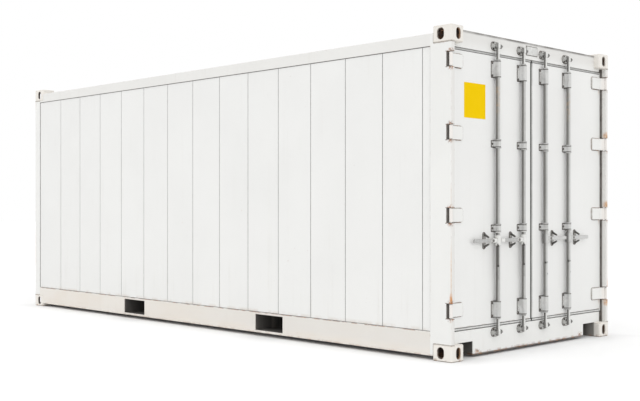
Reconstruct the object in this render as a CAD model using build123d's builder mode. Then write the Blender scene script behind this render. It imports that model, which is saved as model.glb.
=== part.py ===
from build123d import *
import math
import os

# Twenty-foot insulated freight container with two hinged doors at its +X end.
# Length lies along X, width along Y, height along Z. The origin is at floor level,
# in the middle of the plan. Sizes are in millimetres.

# Overall envelope, set by the faces of the corner castings
LENGTH = 6058.0
WIDTH = 2438.0
HEIGHT = 2591.0
HALF_LENGTH = LENGTH / 2
HALF_WIDTH = WIDTH / 2

# How far a cutting tool runs past the face that it leaves
OVERRUN = 5.0
# Gap left between a loose piece and the seat that holds it
SEAT_GAP = 0.3

# Corner castings, with one oblong hole for a twist lock and two lashing holes each
CASTING_LENGTH = 178.0
CASTING_WIDTH = 162.0
CASTING_HEIGHT = 130.0
CASTING_LOCK_PLATE = 28.0
CASTING_OUTER_WALL = 16.0
CASTING_INNER_WALL = 10.0
CASTING_CORNER_RADIUS = 16.0
CASTING_EDGE_BEVEL = 6.0
LOCK_HOLE_END_INSET = 102.5
LOCK_HOLE_SIDE_INSET = 89.5
LOCK_HOLE_LENGTH = 124.0
LOCK_HOLE_WIDTH = 63.5
LASHING_HOLE_HEIGHT = 92.0
LASHING_HOLE_SIDE_WIDTH = 64.0
LASHING_HOLE_END_WIDTH = 58.0
CASTING_INNER_X = HALF_LENGTH - CASTING_LENGTH
CASTING_INNER_Y = HALF_WIDTH - CASTING_WIDTH
CASTING_UNDER_Z = HEIGHT - CASTING_HEIGHT

# Frame faces stand a little inside the casting faces
FRAME_SET_IN = 5.0
POST_END_X = HALF_LENGTH - FRAME_SET_IN
FRAME_SIDE_Y = HALF_WIDTH - FRAME_SET_IN

# Door end: the faces of header, sill and leaves lie in one plane
DOOR_FACE_RECESS = 57.0
DOOR_FACE_X = HALF_LENGTH - DOOR_FACE_RECESS
DOOR_FRAME_DEPTH = 98.0
DOOR_FRAME_BACK_X = DOOR_FACE_X - DOOR_FRAME_DEPTH

# Door posts, a jamb strip in front of a hollow box
DOOR_POST_LENGTH = 204.0
DOOR_POST_BOX_WIDTH = 95.0
DOOR_JAMB_WIDTH = 41.0
DOOR_POST_WALL = 8.0
POST_EDGE_BEVEL = 4.0
DOOR_POST_BACK_X = POST_END_X - DOOR_POST_LENGTH + FRAME_SET_IN
DOOR_POST_INNER_Y = FRAME_SIDE_Y - DOOR_POST_BOX_WIDTH
JAMB_INNER_Y = FRAME_SIDE_Y - DOOR_JAMB_WIDTH

# Far-end posts
FAR_POST_LENGTH = 100.0
FAR_POST_WIDTH = 95.0
FAR_POST_WALL = 6.0
FAR_POST_INNER_X = -POST_END_X + FAR_POST_LENGTH
FAR_POST_INNER_Y = FRAME_SIDE_Y - FAR_POST_WIDTH

# Header and sill across the door end
HEADER_DEPTH = 140.0
HEADER_DROP = 16.0
HEADER_TOP_Z = HEIGHT - HEADER_DROP
HEADER_BOTTOM_Z = HEADER_TOP_Z - HEADER_DEPTH
SILL_BOTTOM_Z = 20.0
SILL_DEPTH = 202.0
SILL_TOP_Z = SILL_BOTTOM_Z + SILL_DEPTH
SILL_NOTCH_WIDTH = 199.0
CROSS_BEAM_WALL = 8.0

# Side rails
RAIL_WIDTH = 60.0
TOP_RAIL_DROP = 51.0
TOP_RAIL_DEPTH = 100.0
TOP_RAIL_TOP_Z = HEIGHT - TOP_RAIL_DROP
TOP_RAIL_BOTTOM_Z = TOP_RAIL_TOP_Z - TOP_RAIL_DEPTH
TOP_RAIL_WALL = 6.0
TOP_RAIL_BEVEL = 5.0
BOTTOM_RAIL_BOTTOM_Z = 35.0
BOTTOM_RAIL_TOP_Z = SILL_TOP_Z
BOTTOM_RAIL_WALL = 6.0
RAIL_INNER_Y = FRAME_SIDE_Y - RAIL_WIDTH

# Fork pockets through the full width
POCKET_SPACING = 2050.0
POCKET_WIDTH = 357.0
POCKET_BOTTOM_Z = 55.0
POCKET_HEIGHT = 147.0
POCKET_WALL = 5.0
POCKET_TOP_Z = POCKET_BOTTOM_Z + POCKET_HEIGHT
DECK_BOTTOM_Z = POCKET_TOP_Z + POCKET_WALL

# Cross members under the deck
MEMBER_WIDTH = 60.0
MEMBER_WALL = 5.0
MEMBER_BOTTOM_Z = 62.0
MEMBERS_PER_BAY = 4

# Floor deck with T-shaped bars along it
DECK_THICKNESS = 9.0
TEE_HEIGHT = 28.0
TEE_WEB = 5.0
TEE_HEAD_WIDTH = 34.0
TEE_HEAD_THICKNESS = 5.0
TEE_PITCH = 62.0
TEE_SIDE_CLEARANCE = 12.0

# Insulated walls and roof
WALL_FACE_SET_IN = 6.0
SIDE_WALL_THICKNESS = 68.0
SIDE_WALL_OUTER_Y = FRAME_SIDE_Y - WALL_FACE_SET_IN
SIDE_WALL_INNER_Y = SIDE_WALL_OUTER_Y - SIDE_WALL_THICKNESS
WALL_SEAM_PITCH = 401.5
WALL_SEAM_FIRST = 281.0
WALL_SEAM_WIDTH = 6.0
WALL_SEAM_DEPTH = 3.0
WALL_SEAM_COUNT = 14
FAR_BEAM_SET_IN = 4.0
FAR_BEAM_DEPTH = 80.0
FAR_BEAM_OUTER_X = -POST_END_X + FAR_BEAM_SET_IN
FAR_BEAM_INNER_X = FAR_BEAM_OUTER_X + FAR_BEAM_DEPTH
FAR_WALL_SET_IN = 10.0
FAR_WALL_SEAMS = 5
ROOF_SEAM_COUNT = 9

# Door leaves
LEAF_BOTTOM_GAP = 26.0
LEAF_TOP_GAP = 23.0
LEAF_JAMB_GAP = 16.0
LEAF_CENTRE_GAP = 40.0
LEAF_BOTTOM_Z = SILL_TOP_Z + LEAF_BOTTOM_GAP
LEAF_TOP_Z = HEADER_BOTTOM_Z - LEAF_TOP_GAP
LEAF_OUTER_Y = JAMB_INNER_Y - LEAF_JAMB_GAP
LEAF_INNER_Y = LEAF_CENTRE_GAP / 2
LEAF_RIM_THICKNESS = 42.0
LEAF_PLUG_THICKNESS = 48.0
LEAF_PLUG_INSET = 14.0
LEAF_PLUG_TAPER = 8.0
LEAF_EDGE_RADIUS = 4.0

# Door gaskets, a lip round the rim of each leaf
GASKET_GAP = 5.0
GASKET_CENTRE_GAP = 8.0
GASKET_SET_IN = 5.0
GASKET_THICKNESS = 18.0
GASKET_FRONT_X = DOOR_FACE_X - GASKET_SET_IN

# Hinges: blades on the leaves, pins standing in pockets of the jambs
HINGE_HEIGHT_SHARES = (0.1513, 0.4346, 0.6812, 0.8973)
BLADE_HEIGHT = 105.0
BLADE_THICKNESS = 12.0
BLADE_LENGTH = 194.0
BLADE_CRANK_RUN = 53.0
BLADE_CORNER_RADIUS = 14.0
KNUCKLE_RADIUS = 13.0
PIN_RADIUS = 7.0
PIN_END_INSET = 19.0
PIN_SIDE_INSET = 20.0
PIN_BITE = 24.0
PIN_CLEARANCE = 0.3
PIN_X = HALF_LENGTH - PIN_END_INSET
PIN_Y = HALF_WIDTH - PIN_SIDE_INSET
BLADE_REACH = PIN_Y - BLADE_LENGTH
BLADE_CRANK_Y = PIN_Y - BLADE_CRANK_RUN
HINGE_POCKET_CLEARANCE = 5.5
HINGE_POCKET_DEPTH = 48.0
HINGE_POCKET_BACK_X = POST_END_X - HINGE_POCKET_DEPTH

# Locking bars, two on each leaf, turning in guides
BAR_OFFSET_SHARES = (0.4754, 0.1469)
BAR_OFFSETS = tuple(LEAF_OUTER_Y * share for share in BAR_OFFSET_SHARES)
BAR_RADIUS = 17.0
BAR_NECK_RADIUS = 13.0
BAR_STAND_OFF = 30.0
BAR_X = DOOR_FACE_X + BAR_STAND_OFF
BAR_CLEARANCE = 0.5
CAM_TOP_RISE = 57.0
CAM_BOTTOM_DROP = 45.0
CAM_TOP_Z = HEADER_BOTTOM_Z + CAM_TOP_RISE
CAM_BOTTOM_Z = SILL_TOP_Z - CAM_BOTTOM_DROP
CAM_RADIUS = 20.0
CAM_HEIGHT = 52.0
CAM_EDGE_RADIUS = 9.0
CAM_NOSE_REACH = 40.0
CAM_NOSE_HEIGHT = 26.0
CAM_NOSE_THICKNESS = 20.0

# Guides that hold the bars to the leaf
GUIDE_WIDTH = 106.0
GUIDE_FOOT_WIDTH = 78.0
GUIDE_FLANGE = 6.0
GUIDE_ARCH_WALL = 6.0
LONG_GUIDE_HEIGHT = 130.0
SHORT_GUIDE_HEIGHT = 52.0
LONG_GUIDE_INSETS = (115.0, 109.0)
LONG_GUIDE_CENTRES = (LEAF_BOTTOM_Z + LONG_GUIDE_INSETS[0], LEAF_TOP_Z - LONG_GUIDE_INSETS[1])
SHORT_GUIDE_SHARES = (0.3929, 0.6561)
SHORT_GUIDE_CENTRES = tuple(HEIGHT * share for share in SHORT_GUIDE_SHARES)

# Cam keepers on header and sill
KEEPER_BASE_THICKNESS = 5.0
KEEPER_BASE_HEIGHT = 66.0
KEEPER_BASE_RADIUS = 30.0
KEEPER_LUG_GAP = 6.0
KEEPER_LUG_THICKNESS = 9.0
KEEPER_LUG_HEIGHT = 34.0
KEEPER_LUG_PROJECTION = 40.0
KEEPER_LUG_BEVEL = 12.0

# Handles and the catches that they rest in
HANDLE_RISE = 672.0
HANDLE_Z = LEAF_BOTTOM_Z + HANDLE_RISE
HANDLE_LENGTH = 338.0
HANDLE_DEPTH = 30.0
HANDLE_NECK_DEPTH = 22.0
HANDLE_NECK_LENGTH = 98.0
HANDLE_ROOT = 27.0
HANDLE_THICKNESS = 10.0
HANDLE_END_RADIUS = 12.0
HUB_RADIUS = 24.0
HUB_HEIGHT = 85.0
EAR_THICKNESS = 5.0
EAR_HEIGHT = 34.0
PIVOT_DISTANCE = 76.0
PIVOT_RADIUS = 6.0
PIVOT_HEAD_RADIUS = 9.0
PIVOT_HEAD_THICKNESS = 4.0
CATCH_DISTANCE = 155.0
CATCH_BASE_WIDTH = 34.0
CATCH_BASE_HEIGHT = 128.0
CATCH_BASE_RADIUS = 12.0
CATCH_BASE_THICKNESS = 6.0
CATCH_JAW_GAP = 6.0
CATCH_JAW_ROOT = 18.0
CATCH_JAW_TIP = 12.0
CATCH_JAW_SPREAD = 22.0
CATCH_JAW_WIDTH = 16.0
CATCH_JAW_PROJECTION = 46.0

DOOR_SIDES = {"left": -1, "right": 1}


def block(x_ends, y_ends, z_ends, mode=Mode.ADD):
    """Box between pairs of coordinates, joined to or cut from the open part."""
    middle = tuple(sum(ends) / 2 for ends in (x_ends, y_ends, z_ends))
    spans = tuple(abs(ends[1] - ends[0]) for ends in (x_ends, y_ends, z_ends))
    with Locations(middle):
        Box(*spans, mode=mode)


def save(piece, name):
    """Label one finished piece and write it as its own file."""
    piece.part.label = name
    export_step(piece.part, "parts/" + name + ".step")


def casting(end, side, level):
    """Hollow corner casting; end, side and level are each -1 or 1."""
    z_low = 0 if level < 0 else CASTING_UNDER_Z
    z_outer = 0 if level < 0 else HEIGHT
    x_middle = end * (HALF_LENGTH - CASTING_LENGTH / 2)
    y_middle = side * (HALF_WIDTH - CASTING_WIDTH / 2)
    z_middle = z_low + CASTING_HEIGHT / 2
    lock_x = end * (HALF_LENGTH - LOCK_HOLE_END_INSET)
    lock_y = side * (HALF_WIDTH - LOCK_HOLE_SIDE_INSET)
    with BuildPart() as body:
        with BuildSketch(Plane.XY.offset(z_low)):
            with Locations((x_middle, y_middle)):
                RectangleRounded(CASTING_LENGTH, CASTING_WIDTH, CASTING_CORNER_RADIUS)
        extrude(amount=CASTING_HEIGHT)
        rims = body.faces().filter_by(Axis.Z).sort_by(Axis.Z)
        chamfer(rims[0].edges() + rims[-1].edges(), CASTING_EDGE_BEVEL)
        block(
            (end * (CASTING_INNER_X + CASTING_INNER_WALL), end * (HALF_LENGTH - CASTING_OUTER_WALL)),
            (side * (CASTING_INNER_Y + CASTING_INNER_WALL), side * (HALF_WIDTH - CASTING_OUTER_WALL)),
            (z_outer - level * CASTING_LOCK_PLATE, z_outer - level * (CASTING_HEIGHT - CASTING_INNER_WALL)),
            mode=Mode.SUBTRACT,
        )
        with BuildSketch(Plane.XY.offset(z_outer)):
            with Locations((lock_x, lock_y)):
                SlotOverall(LOCK_HOLE_LENGTH, LOCK_HOLE_WIDTH)
        extrude(amount=-level * (CASTING_LOCK_PLATE + OVERRUN), mode=Mode.SUBTRACT)
        with BuildSketch(Plane.XZ.offset(-side * HALF_WIDTH)):
            with Locations((lock_x, z_middle)):
                SlotOverall(LASHING_HOLE_HEIGHT, LASHING_HOLE_SIDE_WIDTH, rotation=90)
        extrude(amount=side * (CASTING_OUTER_WALL + OVERRUN), mode=Mode.SUBTRACT)
        with BuildSketch(Plane.YZ.offset(end * HALF_LENGTH)):
            with Locations((lock_y, z_middle)):
                SlotOverall(LASHING_HOLE_HEIGHT, LASHING_HOLE_END_WIDTH, rotation=90)
        extrude(amount=-end * (CASTING_OUTER_WALL + OVERRUN), mode=Mode.SUBTRACT)
    return body


def hinge_heights():
    """Heights of the four hinges, as shares of the height of the container."""
    return [HEIGHT * share for share in HINGE_HEIGHT_SHARES]


def door_post(side):
    """Door post: a box with a jamb strip in front, cut by four hinge pockets."""
    outline = [
        (DOOR_POST_BACK_X, DOOR_POST_INNER_Y),
        (DOOR_FRAME_BACK_X, DOOR_POST_INNER_Y),
        (DOOR_FRAME_BACK_X, JAMB_INNER_Y),
        (POST_END_X, JAMB_INNER_Y),
        (POST_END_X, FRAME_SIDE_Y - POST_EDGE_BEVEL),
        (POST_END_X - POST_EDGE_BEVEL, FRAME_SIDE_Y),
        (DOOR_POST_BACK_X, FRAME_SIDE_Y),
    ]
    void_ends = (DOOR_POST_BACK_X + DOOR_POST_WALL, DOOR_FRAME_BACK_X - DOOR_POST_WALL)
    pocket_half = BLADE_HEIGHT / 2 + HINGE_POCKET_CLEARANCE
    with BuildPart() as post:
        with BuildSketch(Plane.XY.offset(CASTING_HEIGHT)):
            with BuildLine():
                Polyline([(x, side * y) for x, y in outline], close=True)
            make_face()
            with Locations((sum(void_ends) / 2, side * (DOOR_POST_INNER_Y + FRAME_SIDE_Y) / 2)):
                Rectangle(
                    void_ends[1] - void_ends[0],
                    DOOR_POST_BOX_WIDTH - 2 * DOOR_POST_WALL,
                    mode=Mode.SUBTRACT,
                )
        extrude(amount=CASTING_UNDER_Z - CASTING_HEIGHT)
        for z in hinge_heights():
            block(
                (HINGE_POCKET_BACK_X, POST_END_X + OVERRUN),
                (side * (JAMB_INNER_Y - OVERRUN), side * (FRAME_SIDE_Y + OVERRUN)),
                (z - pocket_half, z + pocket_half),
                mode=Mode.SUBTRACT,
            )
            with Locations((PIN_X, side * PIN_Y, z)):
                Cylinder(PIN_RADIUS + SEAT_GAP, 2 * (pocket_half + PIN_BITE), mode=Mode.SUBTRACT)
    return post


def hinge_pins():
    """Eight pins, each standing in the jamb above and below its pocket."""
    length = BLADE_HEIGHT + 2 * (HINGE_POCKET_CLEARANCE + PIN_BITE)
    with BuildPart() as pins:
        places = [(PIN_X, side * PIN_Y, z) for side in DOOR_SIDES.values() for z in hinge_heights()]
        with Locations(places):
            Cylinder(PIN_RADIUS, length)
    return pins


def far_posts():
    """Two hollow posts at the far end."""
    x_middle = -POST_END_X + FAR_POST_LENGTH / 2
    with BuildPart() as posts:
        with BuildSketch(Plane.XY.offset(CASTING_HEIGHT)):
            for side in (-1, 1):
                with Locations((x_middle, side * (FRAME_SIDE_Y - FAR_POST_WIDTH / 2))):
                    Rectangle(FAR_POST_LENGTH, FAR_POST_WIDTH)
                    Rectangle(
                        FAR_POST_LENGTH - 2 * FAR_POST_WALL,
                        FAR_POST_WIDTH - 2 * FAR_POST_WALL,
                        mode=Mode.SUBTRACT,
                    )
        extrude(amount=CASTING_UNDER_Z - CASTING_HEIGHT)
    return posts


def stepped_outline(half_wide, z_wide, half_narrow, z_narrow):
    """Corners of a plate that is wide over one height range and narrow over the next."""
    return [
        (-half_narrow, z_narrow),
        (half_narrow, z_narrow),
        (half_narrow, CASTING_HEIGHT if z_narrow < CASTING_HEIGHT else CASTING_UNDER_Z),
        (half_wide, CASTING_HEIGHT if z_narrow < CASTING_HEIGHT else CASTING_UNDER_Z),
        (half_wide, z_wide),
        (-half_wide, z_wide),
        (-half_wide, CASTING_HEIGHT if z_narrow < CASTING_HEIGHT else CASTING_UNDER_Z),
        (-half_narrow, CASTING_HEIGHT if z_narrow < CASTING_HEIGHT else CASTING_UNDER_Z),
    ]


def cross_beam(x_face, inward, depth, outline, void_half, void_ends):
    """Hollow beam across one end; its outline is drawn on the face and pulled inward."""
    with BuildPart() as beam:
        with BuildSketch(Plane.YZ.offset(x_face)):
            with BuildLine():
                Polyline(outline, close=True)
            make_face()
        extrude(amount=inward * depth)
        block(
            (x_face + inward * CROSS_BEAM_WALL, x_face + inward * (depth - CROSS_BEAM_WALL)),
            (-void_half, void_half),
            void_ends,
            mode=Mode.SUBTRACT,
        )
    return beam


def door_header():
    outline = stepped_outline(JAMB_INNER_Y, HEADER_BOTTOM_Z, CASTING_INNER_Y, HEADER_TOP_Z)
    ends = (HEADER_BOTTOM_Z + CROSS_BEAM_WALL, HEADER_TOP_Z - CROSS_BEAM_WALL)
    return cross_beam(
        DOOR_FACE_X, -1, DOOR_FRAME_DEPTH, outline, CASTING_INNER_Y - CROSS_BEAM_WALL, ends
    )


def door_sill():
    """Sill with a handling notch beside each lower casting."""
    narrow = CASTING_INNER_Y - SILL_NOTCH_WIDTH
    outline = stepped_outline(JAMB_INNER_Y, SILL_TOP_Z, narrow, SILL_BOTTOM_Z)
    ends = (SILL_BOTTOM_Z + CROSS_BEAM_WALL, SILL_TOP_Z - CROSS_BEAM_WALL)
    return cross_beam(DOOR_FACE_X, -1, DOOR_FRAME_DEPTH, outline, narrow - CROSS_BEAM_WALL, ends)


def far_beams():
    """Top and bottom beams of the far end."""
    top = stepped_outline(FAR_POST_INNER_Y, TOP_RAIL_BOTTOM_Z, CASTING_INNER_Y, HEADER_TOP_Z)
    bottom = stepped_outline(FAR_POST_INNER_Y, SILL_TOP_Z, CASTING_INNER_Y, BOTTOM_RAIL_BOTTOM_Z)
    hollow_half = CASTING_INNER_Y - CROSS_BEAM_WALL
    top_ends = (TOP_RAIL_BOTTOM_Z + CROSS_BEAM_WALL, HEADER_TOP_Z - CROSS_BEAM_WALL)
    bottom_ends = (BOTTOM_RAIL_BOTTOM_Z + CROSS_BEAM_WALL, SILL_TOP_Z - CROSS_BEAM_WALL)
    with BuildPart() as beams:
        for outline, ends in ((top, top_ends), (bottom, bottom_ends)):
            add(cross_beam(FAR_BEAM_OUTER_X, 1, FAR_BEAM_DEPTH, outline, hollow_half, ends).part)
    return beams


def top_rails():
    """Hollow rails along the top of both sides, between the castings and posts."""
    outline = [
        (FAR_POST_INNER_X, TOP_RAIL_BOTTOM_Z),
        (DOOR_POST_BACK_X, TOP_RAIL_BOTTOM_Z),
        (DOOR_POST_BACK_X, CASTING_UNDER_Z),
        (CASTING_INNER_X, CASTING_UNDER_Z),
        (CASTING_INNER_X, TOP_RAIL_TOP_Z),
        (-CASTING_INNER_X, TOP_RAIL_TOP_Z),
        (-CASTING_INNER_X, CASTING_UNDER_Z),
        (FAR_POST_INNER_X, CASTING_UNDER_Z),
    ]
    void_x = CASTING_INNER_X - DOOR_POST_LENGTH
    with BuildPart() as rails:
        for side in (-1, 1):
            with BuildSketch(Plane.XZ.offset(-side * FRAME_SIDE_Y)):
                with BuildLine():
                    Polyline(outline, close=True)
                make_face()
            extrude(amount=side * RAIL_WIDTH)
            block(
                (-void_x, void_x),
                (side * (RAIL_INNER_Y + TOP_RAIL_WALL), side * (FRAME_SIDE_Y - TOP_RAIL_WALL)),
                (TOP_RAIL_BOTTOM_Z + TOP_RAIL_WALL, TOP_RAIL_TOP_Z - TOP_RAIL_WALL),
                mode=Mode.SUBTRACT,
            )
        upper = rails.edges().filter_by(Axis.X).group_by(Axis.Z)[-1].sort_by(Axis.Y)
        chamfer([upper[0], upper[-1]], TOP_RAIL_BEVEL)
    return rails


def bottom_rail(side):
    """Channel along one side, with a web outside and two flanges, cut for the fork pockets."""
    outline = [
        (-CASTING_INNER_X, BOTTOM_RAIL_BOTTOM_Z),
        (CASTING_INNER_X, BOTTOM_RAIL_BOTTOM_Z),
        (CASTING_INNER_X, CASTING_HEIGHT),
        (DOOR_POST_BACK_X, CASTING_HEIGHT),
        (DOOR_POST_BACK_X, BOTTOM_RAIL_TOP_Z),
        (FAR_POST_INNER_X, BOTTOM_RAIL_TOP_Z),
        (FAR_POST_INNER_X, CASTING_HEIGHT),
        (-CASTING_INNER_X, CASTING_HEIGHT),
    ]
    web_y = FRAME_SIDE_Y - BOTTOM_RAIL_WALL
    with BuildPart() as rail:
        with BuildSketch(Plane.XZ.offset(-side * FRAME_SIDE_Y)):
            with BuildLine():
                Polyline(outline, close=True)
            make_face()
            with Locations(
                (-POCKET_SPACING / 2, POCKET_BOTTOM_Z + POCKET_HEIGHT / 2),
                (POCKET_SPACING / 2, POCKET_BOTTOM_Z + POCKET_HEIGHT / 2),
            ):
                Rectangle(POCKET_WIDTH, POCKET_HEIGHT, mode=Mode.SUBTRACT)
        extrude(amount=side * BOTTOM_RAIL_WALL)
        block(
            (FAR_POST_INNER_X, DOOR_POST_BACK_X),
            (side * RAIL_INNER_Y, side * web_y),
            (BOTTOM_RAIL_TOP_Z - BOTTOM_RAIL_WALL, BOTTOM_RAIL_TOP_Z),
        )
        block(
            (-CASTING_INNER_X, CASTING_INNER_X),
            (side * RAIL_INNER_Y, side * web_y),
            (BOTTOM_RAIL_BOTTOM_Z, BOTTOM_RAIL_BOTTOM_Z + BOTTOM_RAIL_WALL),
        )
    return rail


def fork_pockets():
    """Two rectangular tubes from rail web to rail web."""
    web_y = FRAME_SIDE_Y - BOTTOM_RAIL_WALL
    z_middle = POCKET_BOTTOM_Z + POCKET_HEIGHT / 2
    with BuildPart() as tubes:
        with BuildSketch(Plane.XZ.offset(-web_y)):
            with Locations((-POCKET_SPACING / 2, z_middle), (POCKET_SPACING / 2, z_middle)):
                Rectangle(POCKET_WIDTH + 2 * POCKET_WALL, POCKET_HEIGHT + 2 * POCKET_WALL)
                Rectangle(POCKET_WIDTH, POCKET_HEIGHT, mode=Mode.SUBTRACT)
        extrude(amount=2 * web_y)
    return tubes


def member_places():
    """Middles of the cross members: evenly spaced between pockets and outside them."""
    pocket_half = POCKET_WIDTH / 2 + POCKET_WALL
    bays = [
        (-CASTING_INNER_X, -POCKET_SPACING / 2 - pocket_half),
        (-POCKET_SPACING / 2 + pocket_half, POCKET_SPACING / 2 - pocket_half),
        (POCKET_SPACING / 2 + pocket_half, CASTING_INNER_X),
    ]
    places = []
    for start, stop in bays:
        step = (stop - start) / MEMBERS_PER_BAY
        places += [start + step * (i + 1 / 2) for i in range(MEMBERS_PER_BAY)]
    return places


def cross_members():
    """Channels across the underside, carrying the deck."""
    web_y = FRAME_SIDE_Y - BOTTOM_RAIL_WALL
    depth = DECK_BOTTOM_Z - MEMBER_BOTTOM_Z
    z_middle = MEMBER_BOTTOM_Z + depth / 2
    with BuildPart() as members:
        with BuildSketch(Plane.XZ.offset(-web_y)):
            for x in member_places():
                with Locations((x, z_middle)):
                    Rectangle(MEMBER_WIDTH, depth)
                with Locations((x + MEMBER_WALL, z_middle)):
                    Rectangle(MEMBER_WIDTH, depth - 2 * MEMBER_WALL, mode=Mode.SUBTRACT)
        extrude(amount=2 * web_y)
    return members


def floor_deck():
    """Deck plate with a row of T bars along the load space."""
    wide = SIDE_WALL_INNER_Y - SEAT_GAP
    narrow = DOOR_POST_INNER_Y - SEAT_GAP
    outline = [
        (FAR_BEAM_INNER_X, -narrow),
        (FAR_POST_INNER_X, -narrow),
        (FAR_POST_INNER_X, -wide),
        (DOOR_POST_BACK_X, -wide),
        (DOOR_POST_BACK_X, -narrow),
        (DOOR_FRAME_BACK_X, -narrow),
        (DOOR_FRAME_BACK_X, narrow),
        (DOOR_POST_BACK_X, narrow),
        (DOOR_POST_BACK_X, wide),
        (FAR_POST_INNER_X, wide),
        (FAR_POST_INNER_X, narrow),
        (FAR_BEAM_INNER_X, narrow),
    ]
    deck_top = DECK_BOTTOM_Z + DECK_THICKNESS
    reach = narrow - TEE_SIDE_CLEARANCE - TEE_HEAD_WIDTH / 2
    steps = int(reach // TEE_PITCH)
    rows = [i * TEE_PITCH for i in range(-steps, steps + 1)]
    with BuildPart() as deck:
        with BuildSketch(Plane.XY.offset(DECK_BOTTOM_Z)):
            with BuildLine():
                Polyline(outline, close=True)
            make_face()
        extrude(amount=DECK_THICKNESS)
        with BuildSketch(Plane.YZ.offset(FAR_BEAM_INNER_X)):
            with Locations([(y, deck_top + (TEE_HEIGHT - TEE_HEAD_THICKNESS) / 2) for y in rows]):
                Rectangle(TEE_WEB, TEE_HEIGHT - TEE_HEAD_THICKNESS)
            with Locations([(y, deck_top + TEE_HEIGHT - TEE_HEAD_THICKNESS / 2) for y in rows]):
                Rectangle(TEE_HEAD_WIDTH, TEE_HEAD_THICKNESS)
        extrude(amount=DOOR_FRAME_BACK_X - FAR_BEAM_INNER_X)
    return deck


def seam_places():
    """Middles of the upright panel seams, counted from the door end."""
    return [
        HALF_LENGTH - WALL_SEAM_FIRST - i * WALL_SEAM_PITCH
        for i in range(WALL_SEAM_COUNT)
    ]


def side_wall(side):
    """Insulated side wall with shallow upright seams in its outer skin."""
    with BuildPart() as wall:
        block(
            (FAR_POST_INNER_X, DOOR_POST_BACK_X),
            (side * SIDE_WALL_INNER_Y, side * SIDE_WALL_OUTER_Y),
            (BOTTOM_RAIL_TOP_Z, TOP_RAIL_BOTTOM_Z),
        )
        for x in seam_places():
            block(
                (x - WALL_SEAM_WIDTH / 2, x + WALL_SEAM_WIDTH / 2),
                (side * (SIDE_WALL_OUTER_Y - WALL_SEAM_DEPTH), side * (SIDE_WALL_OUTER_Y + OVERRUN)),
                (BOTTOM_RAIL_TOP_Z, TOP_RAIL_BOTTOM_Z),
                mode=Mode.SUBTRACT,
            )
    return wall


def far_wall():
    """Insulated wall across the far end, seamed like the sides."""
    outer_x = -POST_END_X + FAR_WALL_SET_IN
    spacing = 2 * FAR_POST_INNER_Y / (FAR_WALL_SEAMS + 1)
    with BuildPart() as wall:
        block(
            (outer_x, FAR_BEAM_INNER_X),
            (-FAR_POST_INNER_Y, FAR_POST_INNER_Y),
            (SILL_TOP_Z, TOP_RAIL_BOTTOM_Z),
        )
        for i in range(FAR_WALL_SEAMS):
            y = -FAR_POST_INNER_Y + (i + 1) * spacing
            block(
                (outer_x - OVERRUN, outer_x + WALL_SEAM_DEPTH),
                (y - WALL_SEAM_WIDTH / 2, y + WALL_SEAM_WIDTH / 2),
                (SILL_TOP_Z, TOP_RAIL_BOTTOM_Z),
                mode=Mode.SUBTRACT,
            )
    return wall


def roof():
    """Insulated roof between the top rails and castings, notched round the door posts."""
    spacing = 2 * CASTING_INNER_X / (ROOF_SEAM_COUNT + 1)
    with BuildPart() as slab:
        block(
            (-CASTING_INNER_X, DOOR_POST_BACK_X),
            (-RAIL_INNER_Y, RAIL_INNER_Y),
            (TOP_RAIL_BOTTOM_Z, CASTING_UNDER_Z),
        )
        block(
            (-CASTING_INNER_X, CASTING_INNER_X),
            (-DOOR_POST_INNER_Y, DOOR_POST_INNER_Y),
            (TOP_RAIL_BOTTOM_Z, CASTING_UNDER_Z),
        )
        block(
            (-CASTING_INNER_X, CASTING_INNER_X),
            (-RAIL_INNER_Y, RAIL_INNER_Y),
            (CASTING_UNDER_Z, TOP_RAIL_TOP_Z),
        )
        for i in range(ROOF_SEAM_COUNT):
            x = -CASTING_INNER_X + (i + 1) * spacing
            block(
                (x - WALL_SEAM_WIDTH / 2, x + WALL_SEAM_WIDTH / 2),
                (-RAIL_INNER_Y, RAIL_INNER_Y),
                (TOP_RAIL_TOP_Z - WALL_SEAM_DEPTH, TOP_RAIL_TOP_Z + OVERRUN),
                mode=Mode.SUBTRACT,
            )
    return slab


def roof_end_strips():
    """Strips that carry the roof between the castings, to the far beam and to the door header."""
    with BuildPart() as strips:
        for x_ends in (
            (FAR_BEAM_INNER_X, -CASTING_INNER_X),
            (CASTING_INNER_X, DOOR_FRAME_BACK_X),
        ):
            block(
                x_ends,
                (-CASTING_INNER_Y, CASTING_INNER_Y),
                (TOP_RAIL_BOTTOM_Z, TOP_RAIL_TOP_Z),
            )
    return strips


def leaf_sketch(inset, side):
    """Rectangle of one leaf in the plane of its face, drawn smaller by an inset."""
    width = LEAF_OUTER_Y - LEAF_INNER_Y
    height = LEAF_TOP_Z - LEAF_BOTTOM_Z
    with Locations((side * (LEAF_OUTER_Y + LEAF_INNER_Y) / 2, (LEAF_TOP_Z + LEAF_BOTTOM_Z) / 2)):
        Rectangle(width - 2 * inset, height - 2 * inset)


def door_leaf(side):
    """Door leaf: a flat rim in front and a tapered insulated plug behind."""
    rim_back_x = DOOR_FACE_X - LEAF_RIM_THICKNESS
    with BuildPart() as leaf:
        with BuildSketch(Plane.YZ.offset(DOOR_FACE_X)):
            leaf_sketch(0, side)
        extrude(amount=-LEAF_RIM_THICKNESS)
        face = leaf.faces().sort_by(Axis.X)[-1]
        fillet(face.edges(), LEAF_EDGE_RADIUS)
        with BuildSketch(Plane.YZ.offset(rim_back_x)):
            leaf_sketch(LEAF_PLUG_INSET, side)
        extrude(amount=-LEAF_PLUG_THICKNESS, taper=LEAF_PLUG_TAPER)
    return leaf


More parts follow.
